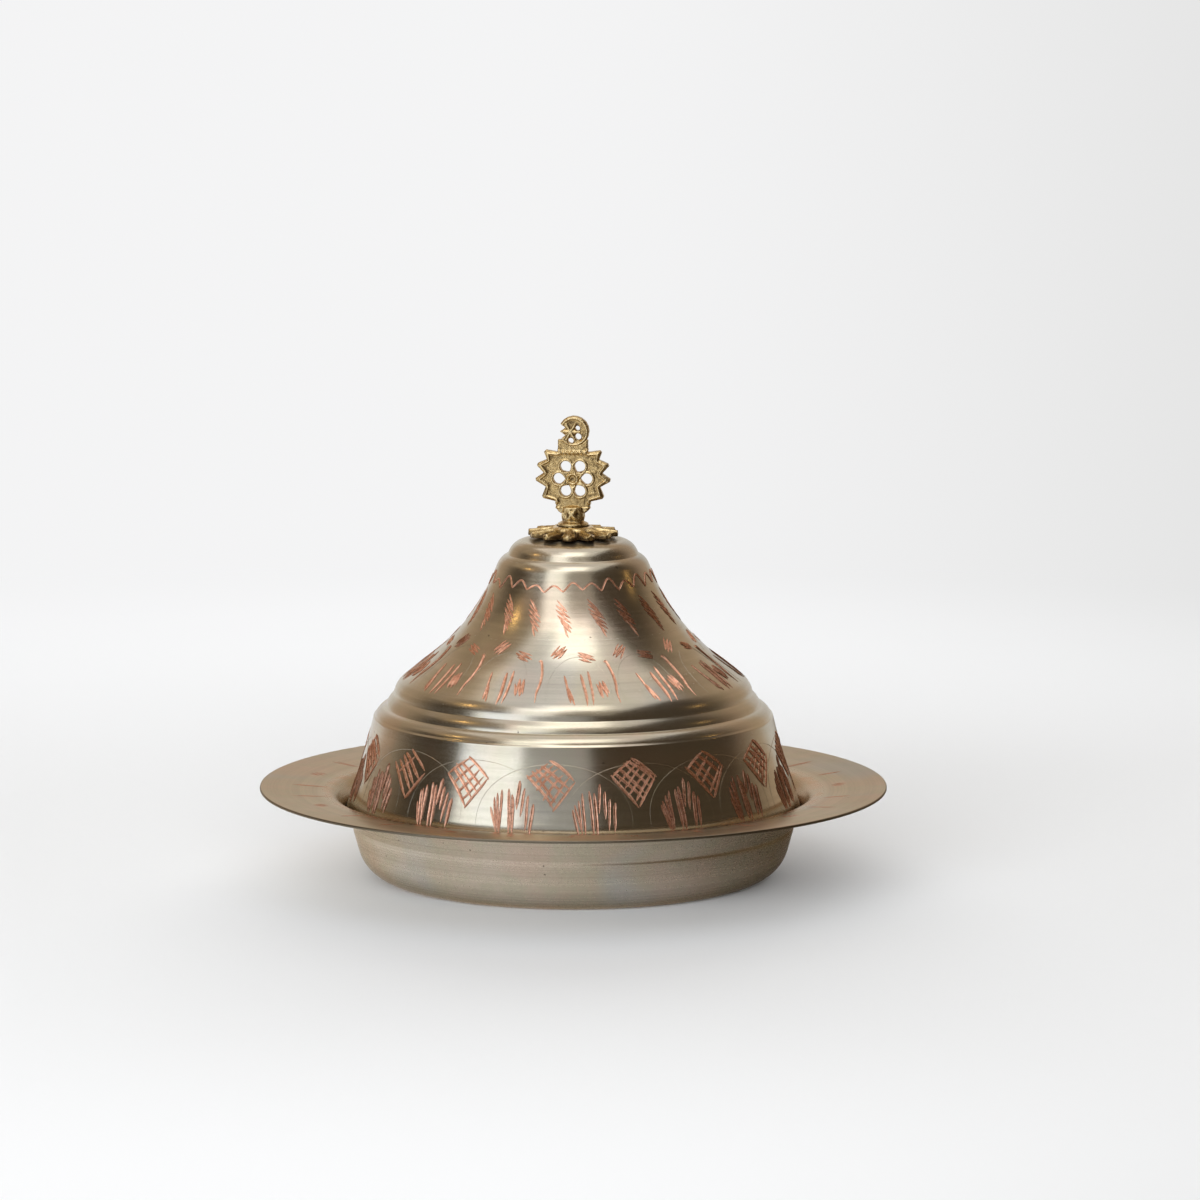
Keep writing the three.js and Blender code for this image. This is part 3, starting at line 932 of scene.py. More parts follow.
class Workshop:
    """Turns point lists into finished plain meshes through the geometry trees."""

    def __init__(self) -> None:
        """Builds the trees and the shader groups that every piece shares."""
        self.trees = GeometryTrees()
        self.groups = ShaderGroups()

    @staticmethod
    def raw_object(
        name: str,
        points: np.ndarray,
        edges: Sequence[tuple[int, int]] = (),
        faces: Sequence[Sequence[int]] = (),
    ) -> bpy.types.Object:
        """Makes an object from points in metres.

        Args:
            name: Its name.
            points: The points.
            edges: Pairs of point numbers.
            faces: Lists of point numbers.

        Returns:
            The linked object.
        """
        mesh = bpy.data.meshes.new(name)
        mesh.from_pydata([tuple(map(float, p)) for p in points], list(edges), list(faces))
        made = bpy.data.objects.new(name, mesh)
        bpy.context.scene.collection.objects.link(made)
        return made

    @staticmethod
    def note_points(mesh: bpy.types.Mesh, name: str, values: Any) -> None:
        """Notes a number or a vector at each point of a mesh.

        Args:
            mesh: The mesh.
            name: The attribute's name.
            values: One number for each point, or a row of three.
        """
        flat = np.array(values, np.float32)
        kind, part = ("FLOAT_VECTOR", "vector") if flat.ndim == 2 else ("FLOAT", "value")
        mesh.attributes.new(name, kind, "POINT")
        mesh.attributes[name].data.foreach_set(part, flat.ravel())

    @staticmethod
    def add_modifier(source: bpy.types.Object, tree: bpy.types.NodeTree, values: dict[str, Any]) -> None:
        """Adds a geometry tree to an object.

        Args:
            source: The object.
            tree: The geometry tree.
            values: A value for each named input.
        """
        modifier = source.modifiers.new(tree.name, "NODES")
        modifier.node_group = tree
        for item in tree.interface.items_tree:
            if item.in_out == "INPUT" and item.name in values:
                modifier[item.identifier] = values[item.name]

    @staticmethod
    def baked(source: bpy.types.Object) -> bpy.types.Object:
        """Replaces an object's mesh by what its modifiers make of it.

        Args:
            source: The object with its modifiers.

        Returns:
            The same object, plain, with its faces pointing out.
        """
        depsgraph = bpy.context.evaluated_depsgraph_get()
        mesh = bpy.data.meshes.new_from_object(source.evaluated_get(depsgraph), depsgraph=depsgraph)
        source.modifiers.clear()
        source.data = mesh
        shape = bmesh.new()
        shape.from_mesh(mesh)
        if shape.calc_volume(signed=True) < 0:
            bmesh.ops.reverse_faces(shape, faces=shape.faces)
            shape.to_mesh(mesh)
        shape.free()
        return source

    def turned(
        self, name: str, loop: np.ndarray, closed: bool, material: bpy.types.Material
    ) -> bpy.types.Object:
        """Makes a turned piece.

        Args:
            name: Its name.
            loop: The outline's radius and height.
            closed: Whether the last point joins the first.
            material: Its finish.

        Returns:
            The piece.
        """
        path_radius = 10.0
        flat = np.column_stack([loop[:, 0] - path_radius, -loop[:, 1], np.zeros(len(loop))]) * MM
        edges = [(i, i + 1) for i in range(len(loop) - 1)]
        if closed:
            edges.append((len(loop) - 1, 0))
        source = self.raw_object(name, flat, edges)
        values = {"Path Radius": path_radius * MM, "Material": material}
        self.add_modifier(source, self.trees.turned_shell, values)
        return self.baked(source)


def finish_piece(
    piece: bpy.types.Object, body: Body, nodes: Sequence[str] = ()
) -> None:
    """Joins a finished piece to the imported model.

    Args:
        piece: The piece.
        body: The body that it moves with.
        nodes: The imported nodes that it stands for.
    """
    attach(piece, body.value)
    if nodes:
        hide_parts(*nodes)
    log.info("%s: %d faces, rides on %s", piece.name, len(piece.data.polygons), body.value)


def shell_loop(face: Outline, sheet: float, edge_round: float) -> np.ndarray:
    """Closes a face and its offset into the outline of a bent sheet, with eased edges.

    Args:
        face: The face as given.
        sheet: The sheet's thickness.
        edge_round: The radius at the sheet's cut edges.

    Returns:
        The outline's points.
    """
    back = face.offset(sheet)[::-1]
    line = np.vstack([face.points, back])
    turns = {len(face.points) - 1, len(face.points)}
    corners = [Corner(r, z, edge_round if i in turns else 0.0) for i, (r, z) in enumerate(line)]
    return Outline(corners, face.chord_error).points


# Engraving


@dataclass
class Stroke:
    """One stroke of the graver.

    Args:
        line: Its points, in millimetres to the right of and above the middle of its motif.
        width: Its full width.
        tone: How bright its copper is, from 0 to 1.
        tapered: Whether it thins out at its ends.
    """

    line: list[Point2]
    width: float
    tone: float = 0.8
    tapered: bool = True


class Hand:
    """The engraver's hand: draws the motifs' strokes with small slips."""

    def __init__(self, seed: int) -> None:
        """Takes the seed of its slips."""
        self.chance = random.Random(seed)

    def slip(self, size: float) -> float:
        """Returns a small chance error of about this size."""
        return self.chance.uniform(-size, size)

    def stroke(
        self, start: Point2, end: Point2, width: float, bow: float = 0.0, tone: float = 0.8
    ) -> Stroke:
        """Draws a stroke between two points.

        Args:
            start: Where it starts.
            end: Where it ends.
            width: Its width.
            bow: How far its middle is pushed to its left.
            tone: How bright it is.

        Returns:
            The stroke.
        """
        length = math.dist(start, end)
        steps = max(3, round(length / 1.3))
        across = (-(end[1] - start[1]) / length, (end[0] - start[0]) / length)
        wobble = self.slip(0.12)
        line = []
        for step in range(steps + 1):
            t = step / steps
            push = bow * 4 * t * (1 - t) + wobble * math.sin(2 * math.pi * t)
            x = start[0] + (end[0] - start[0]) * t + across[0] * push
            y = start[1] + (end[1] - start[1]) * t + across[1] * push
            line.append((x, y))
        return Stroke(line, width * (1 + self.slip(0.15)), min(1.0, tone + self.slip(0.18)))

    def lattice(self, falling: int, rising: int) -> list[Stroke]:
        """Draws a leaning square of strokes that cross, 15 mm wide.

        Args:
            falling: How many strokes run down to the right.
            rising: How many thinner ones run up to the right.

        Returns:
            The strokes.
        """
        left, top = (-7.5, 2.6), (-0.7, 7.6)
        right, bottom = (7.4, 1.6), (0.9, -7.8)
        strokes = []
        for i in range(falling):
            t = i / (falling - 1)
            start = self._between(left, top, t, 0.5)
            end = self._between(bottom, right, t, 0.6)
            strokes.append(self.stroke(start, end, 1.0, bow=0.35 + self.slip(0.3)))
        for i in range(rising):
            t = (i + 0.3) / rising
            start = self._between(left, bottom, t, 0.5)
            end = self._between(top, right, t, 0.6)
            strokes.append(self.stroke(start, end, 0.78, bow=self.slip(0.35), tone=0.75))
        edge = self._between(bottom, right, 0.0, 0.4)
        strokes.append(self.stroke(edge, self._between(right, bottom, 0.0, 0.6), 0.86, tone=0.7))
        return strokes

    def _between(self, a: Point2, b: Point2, share: float, error: float) -> Point2:
        """Returns a point between two others, a little off."""
        x = a[0] + (b[0] - a[0]) * share + self.slip(error)
        return (x, a[1] + (b[1] - a[1]) * share + self.slip(error))

    def tulip(self) -> list[Stroke]:
        """Draws upright strokes of uneven height that lean together at the foot.

        Returns:
            The strokes.
        """
        strokes = []
        for x, top in ((-6.9, 0.6), (-6.2, 3.2), (-5.1, 4.8), (-3.9, 6.4)):
            foot = (x * 0.5 - 1.2 + self.slip(0.5), -6.9 + self.slip(0.5))
            strokes.append(self.stroke((x + self.slip(0.3), top + self.slip(1.0)), foot, 0.82, tone=0.7))
        for x, top, foot in ((-1.5, 6.6, -7.2), (-0.3, 6.0, -7.4)):
            start = (x + self.slip(0.25), top + self.slip(0.8))
            strokes.append(self.stroke(start, (x + 1.0, foot + self.slip(0.3)), 1.1, bow=0.15))
        for x, top, foot in ((1.9, 9.4, 0.6), (3.5, 7.0, -1.6), (5.0, 4.6, -5.8), (6.6, 2.8, -6.8)):
            start = (x + self.slip(0.25), top + self.slip(0.9))
            end = (x - 0.5 + self.slip(0.3), foot + self.slip(0.9))
            strokes.append(self.stroke(start, end, 1.05))
        return strokes

    def zigzag(self, length: float, spread: float, count: int, width: float, lean: float) -> list[Stroke]:
        """Draws a scribble of near strokes that run to and fro.

        Args:
            length: The longest stroke's length.
            spread: The scribble's breadth.
            count: How many strokes it has.
            width: Their width.
            lean: How far it is turned, in degrees, to the left.

        Returns:
            The strokes.
        """
        ends = []
        for i in range(count + 1):
            t = i / count
            half = length / 2 * (0.55 + 0.45 * math.sin(math.pi * (0.12 + 0.76 * t)))
            side = half if i % 2 == 0 else -half
            ends.append((-spread / 2 + spread * t + self.slip(0.2), side + self.slip(length * 0.06)))
        c, s = math.cos(math.radians(lean)), math.sin(math.radians(lean))
        turned = [(x * c - y * s, x * s + y * c) for x, y in ends]
        return [self.stroke(turned[i], turned[i + 1], width) for i in range(count)]

    def leaf(self, length: float, breadth: float, count: int) -> list[Stroke]:
        """Draws a pointed leaf hatched from its upper left to its lower right.

        Args:
            length: Its length.
            breadth: Its breadth.
            count: How many hatches it has.

        Returns:
            The strokes.
        """
        strokes = []
        reach = length * 0.17
        before = None
        for i in range(count):
            t = (i + 0.4) / count
            half = breadth / 2 * math.sin(math.pi * min(1.0, 0.15 + 0.85 * t)) ** 0.8
            middle = (breadth * 0.42 * (t - 0.4) + self.slip(0.15), length * (0.42 - 0.84 * t))
            start = (middle[0] - half, middle[1] + reach + self.slip(0.3))
            end = (middle[0] + half, middle[1] - reach + self.slip(0.3))
            if before:
                strokes.append(self.stroke(before, start, 0.42, tone=0.7))
            strokes.append(self.stroke(start, end, 0.62))
            before = end
        return strokes

    def foot_group(self) -> list[Stroke]:
        """Draws a scribble, two tall strokes and a short scribble side by side.

        Returns:
            The strokes.
        """
        left = [(x - 6.0, y) for x, y in ((0, 6.0), (1.4, -5.6), (0.9, 1.0), (2.6, -6.4), (1.6, -1.4))]
        strokes = [self.stroke(left[i], left[i + 1], 0.7) for i in range(len(left) - 1)]
        for x, top in ((-0.9, 6.4), (1.3, 7.4)):
            foot = (x + 1.3 + self.slip(0.3), -6.8 + self.slip(0.4))
            strokes.append(self.stroke((x + self.slip(0.3), top + self.slip(0.6)), foot, 0.95, bow=0.3))
        for stroke in self.zigzag(7.6, 3.0, 5, 0.7, 14.0):
            strokes.append(self._shifted(stroke, 5.8, 0.2))
        return strokes

    @staticmethod
    def _shifted(stroke: Stroke, x: float, y: float) -> Stroke:
        """Returns a stroke moved to the right and up."""
        return Stroke([(a + x, b + y) for a, b in stroke.line], stroke.width, stroke.tone, stroke.tapered)

    def sprout(self) -> list[Stroke]:
        """Draws a tall stem with a hooked top and a small leaf on each side of it.

        Returns:
            The strokes.
        """
        stem = [(-1.0, 8.6), (-0.4, 8.9), (0.1, 7.6), (0.9, 3.6), (1.0, -0.6), (0.6, -4.4), (0.9, -8.6)]
        strokes = [self._smooth(stem, 0.85)]
        for stroke in self.zigzag(5.8, 2.9, 5, 0.6, 62.0):
            strokes.append(self._shifted(stroke, -6.4, 10.4))
        for stroke in self.zigzag(6.2, 3.2, 5, 0.6, -38.0):
            strokes.append(self._shifted(stroke, 4.8, 12.4))
        return strokes

    def _smooth(self, ends: list[Point2], width: float) -> Stroke:
        """Draws one stroke smoothly through several points.

        Args:
            ends: The points.
            width: The stroke's width.

        Returns:
            The stroke.
        """
        knots = np.array(ends)
        padded = np.vstack([2 * knots[0] - knots[1], knots, 2 * knots[-1] - knots[-2]])
        line = []
        for i in range(len(knots) - 1):
            p0, p1, p2, p3 = padded[i : i + 4]
            for t in (0.0, 0.25, 0.5, 0.75):
                square = (2 * p0 - 5 * p1 + 4 * p2 - p3) * t**2
                cube = (3 * p1 - p0 - 3 * p2 + p3) * t**3
                point = 0.5 * (2 * p1 + (p2 - p0) * t + square + cube)
                line.append((float(point[0]), float(point[1])))
        line.append(ends[-1])
        return Stroke(line, width, 0.8 + self.slip(0.15))

    def arch(self, half_width: float, rise: float, width: float) -> Stroke:
        """Draws a half round with a thin point, from its left foot to its right.

        Args:
            half_width: Half its width at the foot.
            rise: Its height.
            width: The stroke's width.

        Returns:
            The stroke.
        """
        line = []
        steps = 40
        for step in range(steps + 1):
            turn = math.pi * (1 - step / steps)
            line.append((half_width * math.cos(turn), rise * math.sin(turn) ** 0.9))
        return Stroke(line, width, 0.9)


@dataclass(frozen=True)
class Row:
    """A row of motifs round a turned surface.

    Args:
        count: How many there are.
        turn: The angle of the first one's middle round the axis.
        way: The way of their middles along the surface's meridian.
    """

    count: int
    turn: float
    way: float

    def angle(self, i: int) -> float:
        """Returns the angle of a motif's middle, where all stand evenly."""
        return self.turn + 360 * i / self.count


class Engraving:
    """Collects strokes on one turned surface and cuts them."""

    def __init__(self, surface: Meridian) -> None:
        """Starts with no strokes.

        Args:
            surface: The surface.
        """
        self.surface = surface
        self.points: list[Vector] = []
        self.edges: list[tuple[int, int]] = []
        self.normals: list[Vector] = []
        self.half_widths: list[float] = []
        self.tones: list[float] = []

    def add(self, strokes: Sequence[Stroke], angle: float, distance: float) -> None:
        """Lays a motif's strokes on the surface.

        Args:
            strokes: The strokes.
            angle: The angle of the motif's middle round the axis.
            distance: The way of its middle along the surface's meridian.
        """
        for stroke in strokes:
            placed = []
            for x, y in stroke.line:
                way = distance + y
                placed.append((angle + math.degrees(x / self.surface.radius(way)), way))
            self._add_line(placed, stroke.width, stroke.tone, stroke.tapered)

    def add_ring(self, ways: Sequence[float], width: float, tone: float) -> None:
        """Lays one closed stroke all the way round.

        Args:
            ways: The way along the meridian at each equal step round the axis.
            width: The stroke's width.
            tone: How bright it is.
        """
        count = len(ways)
        first = len(self.points)
        self._add_line([(360 * i / count, way) for i, way in enumerate(ways)], width, tone, False)
        self.edges.append((first + count - 1, first))

    def _add_line(self, placed: Sequence[Point2], width: float, tone: float, tapered: bool) -> None:
        """Adds one line of angles and ways.

        A tapered stroke starts at a third of its width, darkened at its start as a painted shade of
        the graver's entry pit, and is full after an eighth of its way; it thins out again over its last
        quarter.

        Args:
            placed: The angle round the axis and the way along the meridian of each point.
            width: The stroke's full width.
            tone: How bright it is.
            tapered: Whether it thins out at its ends.
        """
        first = len(self.points)
        last = len(placed) - 1
        for i, (angle, way) in enumerate(placed):
            point, normal = self.surface.place(angle, way)
            self.points.append(point)
            self.normals.append(normal)
            t = i / last
            taper = min(1.0, 0.34 + 5.0 * t, 0.22 + 3.4 * (1 - t)) if tapered else 1.0
            self.half_widths.append(width / 2 * taper * MM)
            # Painted shade of the graver's entry pit on a tapered stroke's first point.
            self.tones.append(tone * (0.45 if tapered and i == 0 else 1.0))
            if i:
                self.edges.append((first + i - 1, first + i))

    def cut(
        self, workshop: Workshop, name: str, material: bpy.types.Material, lip: float
    ) -> bpy.types.Object:
        """Makes the strokes' piece.

        Args:
            workshop: The workshop with the geometry trees.
            name: The piece's name.
            material: The finish of the cuts.
            lip: The height of the lips as a share of the half width.

        Returns:
            The piece.
        """
        source = workshop.raw_object(name, np.array([tuple(p) for p in self.points]), self.edges)
        workshop.note_points(source.data, "surface_normal", [tuple(n) for n in self.normals])
        workshop.note_points(source.data, "half_width", self.half_widths)
        workshop.note_points(source.data, "tone", self.tones)
        values = {"Lip Height": lip, "Material": material}
        workshop.add_modifier(source, workshop.trees.graver_strokes, values)
        return workshop.baked(source)


# The dish


@dataclass
class Dish:
    """The spun dish: flat base, round belly with a fine ridge, flaring neck and wide flange."""

    rim_radius: float = 100.0
    rim_height: float = 29.4
    sheet: float = 0.9
    flange_rise: float = 2.1
    foot_radius: float = 66.0
    foot_bend: float = 12.0
    belly_radius: float = 70.2
    ridge_height: float = 16.0
    ridge_size: float = 0.15
    ridge_half_width: float = 1.1
    ridge_bend: float = 3.0
    neck_radius: float = 76.7
    neck_bend: float = 3.5
    edge_round: float = 0.32
    mark_row: Row = Row(27, 0.0, 8.5)
    seed: int = 11

    def underside(self) -> Outline:
        """Draws the dish's under and outer face, from the axis to the rim.

        Returns:
            The outline.
        """
        neck_height = self.rim_height - self.sheet - self.flange_rise
        corners = [
            Corner(0, 0),
            Corner(self.foot_radius, 0, self.foot_bend),
            Corner(self.belly_radius, self.ridge_height - self.ridge_half_width, self.ridge_bend),
            Corner(self.belly_radius + self.ridge_size, self.ridge_height, self.ridge_bend),
            Corner(self.belly_radius, self.ridge_height + self.ridge_half_width, self.ridge_bend),
            Corner(self.neck_radius, neck_height, self.neck_bend),
            Corner(self.rim_radius, self.rim_height - self.sheet),
        ]
        return Outline(corners)

    def build(self, workshop: Workshop, tin: bpy.types.Material, copper: bpy.types.Material) -> None:
        """Makes the dish and the worn marks on its flange.

        Args:
            workshop: The workshop.
            tin: The finish of the shell.
            copper: The finish of the marks.
        """
        face = self.underside()
        shell = workshop.turned("dish_metal", shell_loop(face, self.sheet, self.edge_round), False, tin)
        finish_piece(shell, Body.DISH, ["dish"])
        top = face.offset(self.sheet)
        flange = Meridian(top[top[:, 0] > self.neck_radius], -1)
        marks = self.marks(flange).cut(workshop, "flange_marks", copper, lip=0.16)
        finish_piece(marks, Body.DISH)

    def marks(self, flange: Meridian) -> Engraving:
        """Lays faint radial strokes and small scribbles round the flange.

        Args:
            flange: The flange's upper face, from its inner bend to the rim.

        Returns:
            The engraving.
        """
        hand = Hand(self.seed)
        engraving = Engraving(flange)
        for i in range(self.mark_row.count):
            angle = self.mark_row.angle(i) + hand.slip(1.5)
            if i % 3 == 1:
                strokes = hand.zigzag(4.6, 5.0, 6, 0.42, 24.0)
            else:
                strokes = hand.zigzag(10.5 + hand.slip(2), 1.5, 3, 0.38, hand.slip(8.0))
            engraving.add(strokes, angle, self.mark_row.way + hand.slip(1.2))
        return engraving


# The lid


@dataclass
class Lid:
    """The spun and engraved lid, from the edge in the neck of the dish up to the crown."""

    sheet: float = 0.9
    edge_round: float = 0.3
    edge: Corner = Corner(72.542, 22.4)
    bow: Corner = Corner(66.335, 39.9, 200)
    fold: Corner = Corner(63.6, 51.9, 0.45)
    crease: Corner = Corner(62.95, 52.5, 0.12)
    lower_bead: Corner = Corner(62.1, 54.4, 30)
    bead_groove: Corner = Corner(59.6, 55.3, 0.6)
    upper_bead: Corner = Corner(59.1, 57.1, 30)
    notch: Corner = Corner(57.2, 58.9, 0.6)
    shoulder: Corner = Corner(56.4, 62.3, 7.5)
    flare: Corner = Corner(32.3, 80.8, 65)
    neck_top: Corner = Corner(24.1, 100.3, 1.2)
    crown_bead: Corner = Corner(23.157, 102.657, 30)
    crown_groove: Corner = Corner(20.8, 103.6, 0.6)
    dome: Corner = Corner(19.0, 107.7, 6)
    crown: Corner = Corner(6.5, 109.4, 12)
    bore: Corner = Corner(2.3, 109.4)
    lattices: Row = Row(16, -6.3, 19.4)
    lattice_strokes: tuple[tuple[int, int], ...] = (
        (5, 5), (6, 5), (5, 4), (5, 5), (6, 4), (5, 3), (5, 1), (5, 4)
    )
    tulips: Row = Row(16, 6.3, 10.6)
    wall_arches: Row = Row(16, -4.5, 5.4)
    foot_groups: Row = Row(12, 4.0, 52.8)
    foot_arches: Row = Row(12, 2.0, 46.8)
    sprouts: Row = Row(12, 15.5, 55.6)
    leaves: Row = Row(19, -4.5, 79.8)
    wave_count: int = 27
    wave_ways: Point2 = (88.8, 92.2)
    seed: int = 5

    def outside(self) -> Outline:
        """Draws the lid's outer face, from its lower edge to the bore.

        Returns:
            The outline.
        """
        wall = [self.edge, self.bow, self.fold, self.crease]
        beads = [self.lower_bead, self.bead_groove, self.upper_bead, self.notch]
        flare = [self.shoulder, self.flare, self.neck_top, self.crown_bead]
        top = [self.crown_groove, self.dome, self.crown, self.bore]
        return Outline(wall + beads + flare + top)

    def build(self, workshop: Workshop, tin: bpy.types.Material, copper: bpy.types.Material) -> None:
        """Makes the lid's shell and its engraving.

        Args:
            workshop: The workshop.
            tin: The finish of the shell and of the thin scribed lines.
            copper: The finish of the deep strokes.
        """
        face = self.outside()
        loop = shell_loop(face, self.sheet, self.edge_round)
        finish_piece(workshop.turned("lid_metal", loop, True, tin), Body.LID, ["lid_shell"])
        surface = Meridian(face.points, 1)
        wall = self.wall_engraving(surface).cut(workshop, "wall_engraving", copper, lip=0.6)
        flare = self.flare_engraving(surface).cut(workshop, "flare_engraving", copper, lip=0.55)
        scribed = self.scribed_lines(surface).cut(workshop, "scribed_lines", tin, lip=0.5)
        finish_piece(wall, Body.LID)
        finish_piece(flare, Body.LID)
        finish_piece(scribed, Body.LID)

    def wall_engraving(self, surface: Meridian) -> Engraving:
        """Lays lattices and tulips by turns round the wall.

        Args:
            surface: The lid's outer face.

        Returns:
            The engraving.
        """
        hand = Hand(self.seed)
        engraving = Engraving(surface)
        for i in range(self.lattices.count):
            angle = self.lattices.angle(i) + hand.slip(0.8)
            falling, rising = self.lattice_strokes[i % len(self.lattice_strokes)]
            engraving.add(hand.lattice(falling, rising), angle, self.lattices.way + hand.slip(0.8))
        for i in range(self.tulips.count):
            angle = self.tulips.angle(i) + hand.slip(0.8)
            engraving.add(hand.tulip(), angle, self.tulips.way + hand.slip(0.3))
        return engraving

    def flare_engraving(self, surface: Meridian) -> Engraving:
        """Lays the foot groups and sprouts, the leaves and the wave line up the flare.

        Args:
            surface: The lid's outer face.

        Returns:
            The engraving.
        """
        hand = Hand(self.seed + 1)
        engraving = Engraving(surface)
        for i in range(self.foot_groups.count):
            strokes = hand.foot_group()
            angle = self.foot_groups.angle(i) + hand.slip(1.0)
            engraving.add(strokes, angle, self.foot_groups.way + hand.slip(0.4))
            strokes = hand.sprout()
            angle = self.sprouts.angle(i) + hand.slip(1.5)
            engraving.add(strokes, angle, self.sprouts.way + hand.slip(0.4))
        for i in range(self.leaves.count):
            angle = self.leaves.angle(i) + hand.slip(1.2)
            engraving.add(hand.leaf(12.6, 5.2, 6 + i % 2), angle, self.leaves.way + hand.slip(0.4))
        engraving.add_ring(self._wave(hand), 0.6, 0.8)
        return engraving

    def _wave(self, hand: Hand) -> list[float]:
        """Draws the wave line.

        Args:
            hand: The engraver's hand.

        Returns:
            Its way along the meridian at each step round the axis.
        """
        steps = 14
        low_way, high_way = self.wave_ways
        highs = [high_way + hand.slip(1.5) for _ in range(self.wave_count)]
        lows = [low_way + hand.slip(1.1) for _ in range(self.wave_count)]
        ways = []
        for wave in range(self.wave_count):
            for step in range(steps):
                t = step / steps
                rise = abs(math.cos(math.pi * t)) ** 1.35
                high = highs[wave] if t < 0.5 else highs[(wave + 1) % self.wave_count]
                ways.append(lows[wave] + (high - lows[wave]) * rise)
        return ways

    def scribed_lines(self, surface: Meridian) -> Engraving:
        """Lays the thin arches over the lattices and over the foot groups.

        Args:
            surface: The lid's outer face.

        Returns:
            The engraving.
        """
        hand = Hand(self.seed + 2)
        engraving = Engraving(surface)
        for i in range(self.wall_arches.count):
            angle = self.wall_arches.angle(i) + hand.slip(1.2)
            arch = hand.arch(25.0, 20.6 + hand.slip(0.6), 0.2)
            engraving.add([arch], angle, self.wall_arches.way)
        for i in range(self.foot_arches.count):
            angle = self.foot_arches.angle(i) + hand.slip(3.0)
            arch = hand.arch(10.5, 20.0 + hand.slip(0.8), 0.18)
            engraving.add([arch], angle, self.foot_arches.way)
        return engraving


# The castings


@dataclass(frozen=True)
class CastSkin:
    """The rough skin of a casting, with the sizes of its bumps in metres."""

    pebble_height: float
    pebbles_per_metre: float = 1000.0
    grain_height: float = 0.00007
    seed: float = 3.0

    def finish(
        self, workshop: Workshop, piece: bpy.types.Object, looks: Any, brass: bpy.types.Material, node: str
    ) -> None:
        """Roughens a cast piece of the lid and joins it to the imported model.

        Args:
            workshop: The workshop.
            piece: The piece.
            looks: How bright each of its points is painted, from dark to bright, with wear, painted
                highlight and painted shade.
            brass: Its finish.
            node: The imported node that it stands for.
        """
        workshop.note_points(piece.data, "relief", looks)
        values = {
            "Pebble Height": self.pebble_height,
            "Pebbles per Metre": self.pebbles_per_metre,
            "Grain Height": self.grain_height,
            "Seed": self.seed,
            "Material": brass,
        }
        workshop.add_modifier(piece, workshop.trees.cast_skin, values)
        finish_piece(workshop.baked(piece), Body.LID, [node])


def hump(value: np.ndarray, middle: float, half_width: float) -> np.ndarray:
    """Returns a smooth hump of height 1 at the middle that ends at the half width."""
    near = np.clip(1 - np.abs(value - middle) / half_width, 0, 1)
    return near * near * (3 - 2 * near)


def polar(reach: float, turn: float) -> Point2:
    """Returns the point at a reach from the middle and a turn in degrees from the top."""
    return (reach * math.sin(math.radians(turn)), reach * math.cos(math.radians(turn)))


def bar(x: np.ndarray, y: np.ndarray, turn: float, ends: Point2, half_width: float) -> np.ndarray:
    """Finds a bar of height 1 with soft sides that runs straight out from the middle.

    Args:
        x: The points' first coordinates.
        y: Their second coordinates.
        turn: The bar's direction, in radians.
        ends: How far from the middle it starts and ends.
        half_width: Half its width.

    Returns:
        Its height at each point.
    """
    along = x * math.cos(turn) + y * math.sin(turn)
    aside = y * math.cos(turn) - x * math.sin(turn)
    return hump(aside, 0.0, half_width) * ((along > ends[0]) & (along < ends[1]))


def distance_to_line(x: np.ndarray, y: np.ndarray, corners: np.ndarray) -> np.ndarray:
    """Finds how far points are from a line of straight pieces.

    Args:
        x: The points' first coordinates.
        y: Their second coordinates.
        corners: The line's corners, one in each row.

    Returns:
        The distances.
    """
    nearest = np.full(len(x), np.inf)
    for start, end in zip(corners[:-1], corners[1:]):
        step = end - start
        share = np.clip(((x - start[0]) * step[0] + (y - start[1]) * step[1]) / (step @ step), 0, 1)
        away = np.hypot(x - start[0] - share * step[0], y - start[1] - share * step[1])
        nearest = np.minimum(nearest, away)
    return nearest


class Face(Enum):
    """The faces of the rosette, in the order in which its rings of points run over them."""

    BORE = "bore"
    HUB = "hub"
    RAY = "ray"
    WALL = "wall"


